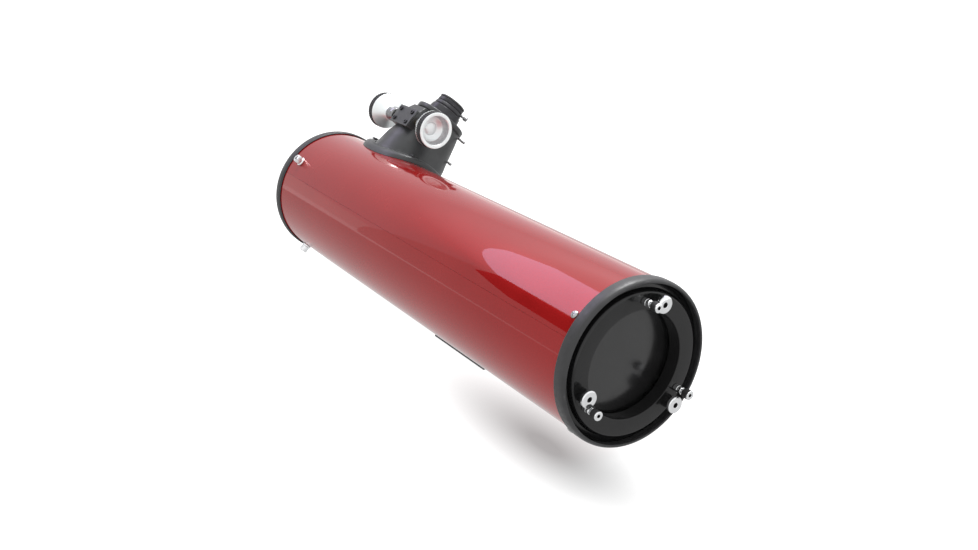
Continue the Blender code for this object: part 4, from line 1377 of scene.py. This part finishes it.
# Each card's light (red, green, blue, low and high strength), then its corners in metres
# (across, above the tube's axis).
REFLECTED_CARDS = (
    (
        "side_card",
        (1, 1, 1, 0.75, 0.75),
        ((-6, -0.05), (-1.05, -0.05), (-1.05, 1.2), (-6, 4)),
    ),
    (
        "ceiling_card",
        (1, 0.98, 1.02, 0.98, 1.68),
        ((-1.05, 0.3), (3.5, 0.3), (3.5, 3.5), (-1.05, 3.5)),
    ),
    (
        "softbox_card",
        (1, 0.93, 1.22, 3.6, 3.6),
        ((-1.0, 1.2), (0, 1.55), (0.28, 1.72), (0.2, 2.9), (-1.9, 2.2)),
    ),
    (
        "gap_card",
        (1, 1, 1, 0.03, 0.03),
        ((-1.11, 0.96), (-1.4, 0.84), (-1.75, 0.95), (-1.45, 1.6), (-1.0, 1.2)),
    ),
)
WORLD_STRENGTH = 1.1
KEY_PLACE = (0.85, 0.35, 2.0)
KEY_SIZE = 1.1
KEY_POWER = 46


def paper_with_painted_shadow():
    """White paper on a light table, with a painted shadow: it glows less in a dim oval beside the telescope's
    near end.
    """
    paper = Finish("white_paper_painted_shadow", (0.22, 0.22, 0.22), 0.6, specular_ior_level=0.1)
    paper.tint(paper.noise(300, 2), (0.21, 0.21, 0.21))
    paper.gloss(paper.noise(120, 2), 0.55, 0.65)
    # The painted shadow: the glow is dimmest at the floor's origin and rises across an oval to its full
    # strength.
    oval = paper.node("ShaderNodeVectorMath", operation="MULTIPLY")
    oval.inputs[1].default_value = PAINTED_SHADOW_SQUEEZE
    paper.link(paper.place(), oval.inputs[0])
    away = paper.node("ShaderNodeVectorMath", operation="LENGTH")
    paper.link(oval.outputs["Vector"], away.inputs[0])
    glow = paper.spread(away.outputs["Value"], FLOOR_GLOW_IN_PAINTED_SHADOW, FLOOR_GLOW_FAR, *PAINTED_SHADOW_REACH)
    paper.shader.inputs["Emission Color"].default_value = (1, 1, 1, 1)
    paper.link(glow, paper.shader.inputs["Emission Strength"])
    return paper.material


def build_stage():
    size = 12
    mesh = bpy.data.meshes.new("studio_floor")
    corners = [(-size, -size), (size, -size), (size, size), (-size, size)]
    mesh.from_pydata([(x, y, 0) for x, y in corners], [], [(0, 1, 2, 3)])
    # The floor's origin is the middle of its painted shadow.
    middle = Vector((AXIS_POINT.x + PAINTED_SHADOW_MIDDLE[0], REAR_PLANE + PAINTED_SHADOW_MIDDLE[1], cad_low.z))
    new_piece("studio_floor", mesh, Matrix.Translation(middle), paper_with_painted_shadow())
    for number, (name, glow, corners) in enumerate(REFLECTED_CARDS):
        away = CARD_DISTANCE - number * CARD_SPACING
        reflected_card(name, glow, [(x, away, z) for x, z in corners])
    height = cad_low.z - AXIS_POINT.z + FLOOR_CARD_LIFT
    left, right, back, front = FLOOR_CARD_EDGES
    corners = ((left, back), (right, back), (right, front), (left, front))
    reflected_card("floor_card", FLOOR_CARD_GLOW, [(x, y, height) for x, y in corners])


def reflected_card(name, glow, corners):
    """A flat card seen only as a reflection in glossy surfaces, placed from the tube's rear end."""
    mesh = bpy.data.meshes.new(name)
    mesh.from_pydata(corners, [], [tuple(range(len(corners)))])
    card = Finish(name, (0, 0, 0), 1.0, specular_ior_level=0.0)
    card.shader.inputs["Emission Color"].default_value = (*glow[:3], 1)
    low, high = glow[3:]
    if low == high:
        card.shader.inputs["Emission Strength"].default_value = low
    else:
        split = card.node("ShaderNodeSeparateXYZ")
        card.link(card.place(), split.inputs[0])
        strength = card.spread(split.outputs["Z"], low, high, *CARD_FADE)
        card.link(strength, card.shader.inputs["Emission Strength"])
    obj = new_piece(name, mesh, Matrix.Translation(AXIS_POINT), card.material)
    obj.visible_camera = False
    obj.visible_diffuse = False
    obj.visible_shadow = False


def facing(direction):
    """The turn that points a light or camera in a direction."""
    return direction.to_track_quat("-Z", "Y").to_matrix().to_4x4()


def build_key_light():
    light = bpy.data.lights.new("key_softbox", "AREA")
    light.shape = "RECTANGLE"
    light.size = light.size_y = KEY_SIZE
    light.energy = KEY_POWER
    obj = bpy.data.objects.new("key_softbox", light)
    bpy.context.scene.collection.objects.link(obj)
    place = Vector(KEY_PLACE)
    target = Vector((AXIS_POINT.x, TUBE_CENTRE.y, AXIS_POINT.z))
    obj.matrix_world = Matrix.Translation(place) @ facing(target - place)


def build_world():
    world = bpy.data.worlds.new("studio")
    bpy.context.scene.world = world
    world.use_nodes = True
    background = world.node_tree.nodes["Background"]
    background.inputs["Color"].default_value = (1, 1, 1, 1)
    background.inputs["Strength"].default_value = WORLD_STRENGTH


CAMERA_AZIMUTH = -32.71
CAMERA_ELEVATION = 21.47
CAMERA_DISTANCE = 1.1264
CAMERA_LENS = 39.9
AIM_AHEAD_OF_REAR = 0.2358
AIM_ABOVE_AXIS = 0.0066


def build_camera():
    camera = bpy.data.cameras.new("camera")
    camera.lens = CAMERA_LENS
    camera.sensor_width = 36
    camera.clip_start = 0.01
    obj = bpy.data.objects.new("camera", camera)
    bpy.context.scene.collection.objects.link(obj)
    azimuth, elevation = math.radians(CAMERA_AZIMUTH), math.radians(CAMERA_ELEVATION)
    level = math.cos(elevation)
    back = Vector((math.sin(azimuth) * level, -math.cos(azimuth) * level, math.sin(elevation)))
    target = AXIS_POINT + Vector((0, AIM_AHEAD_OF_REAR, AIM_ABOVE_AXIS))
    obj.matrix_world = Matrix.Translation(target + back * CAMERA_DISTANCE) @ facing(-back)
    bpy.context.scene.camera = obj
    bpy.context.scene.view_settings.view_transform = "Standard"


def build():
    build_tube()
    build_rings()
    build_back_plate()
    build_mirror_cell()
    build_primary_mirror()
    build_mirror_clips()
    build_collimation_screws()
    build_lock_screws()
    build_springs()
    build_cell_screws()
    build_spider()
    build_secondary()
    build_housing()
    build_cover()
    build_flange_screws()
    build_drawtube()
    build_pinion()
    build_knobs()
    build_eyepiece_end()
    build_side_screws()
    build_dovetail()
    build_stage()
    build_world()
    build_key_light()
    build_camera()


build()
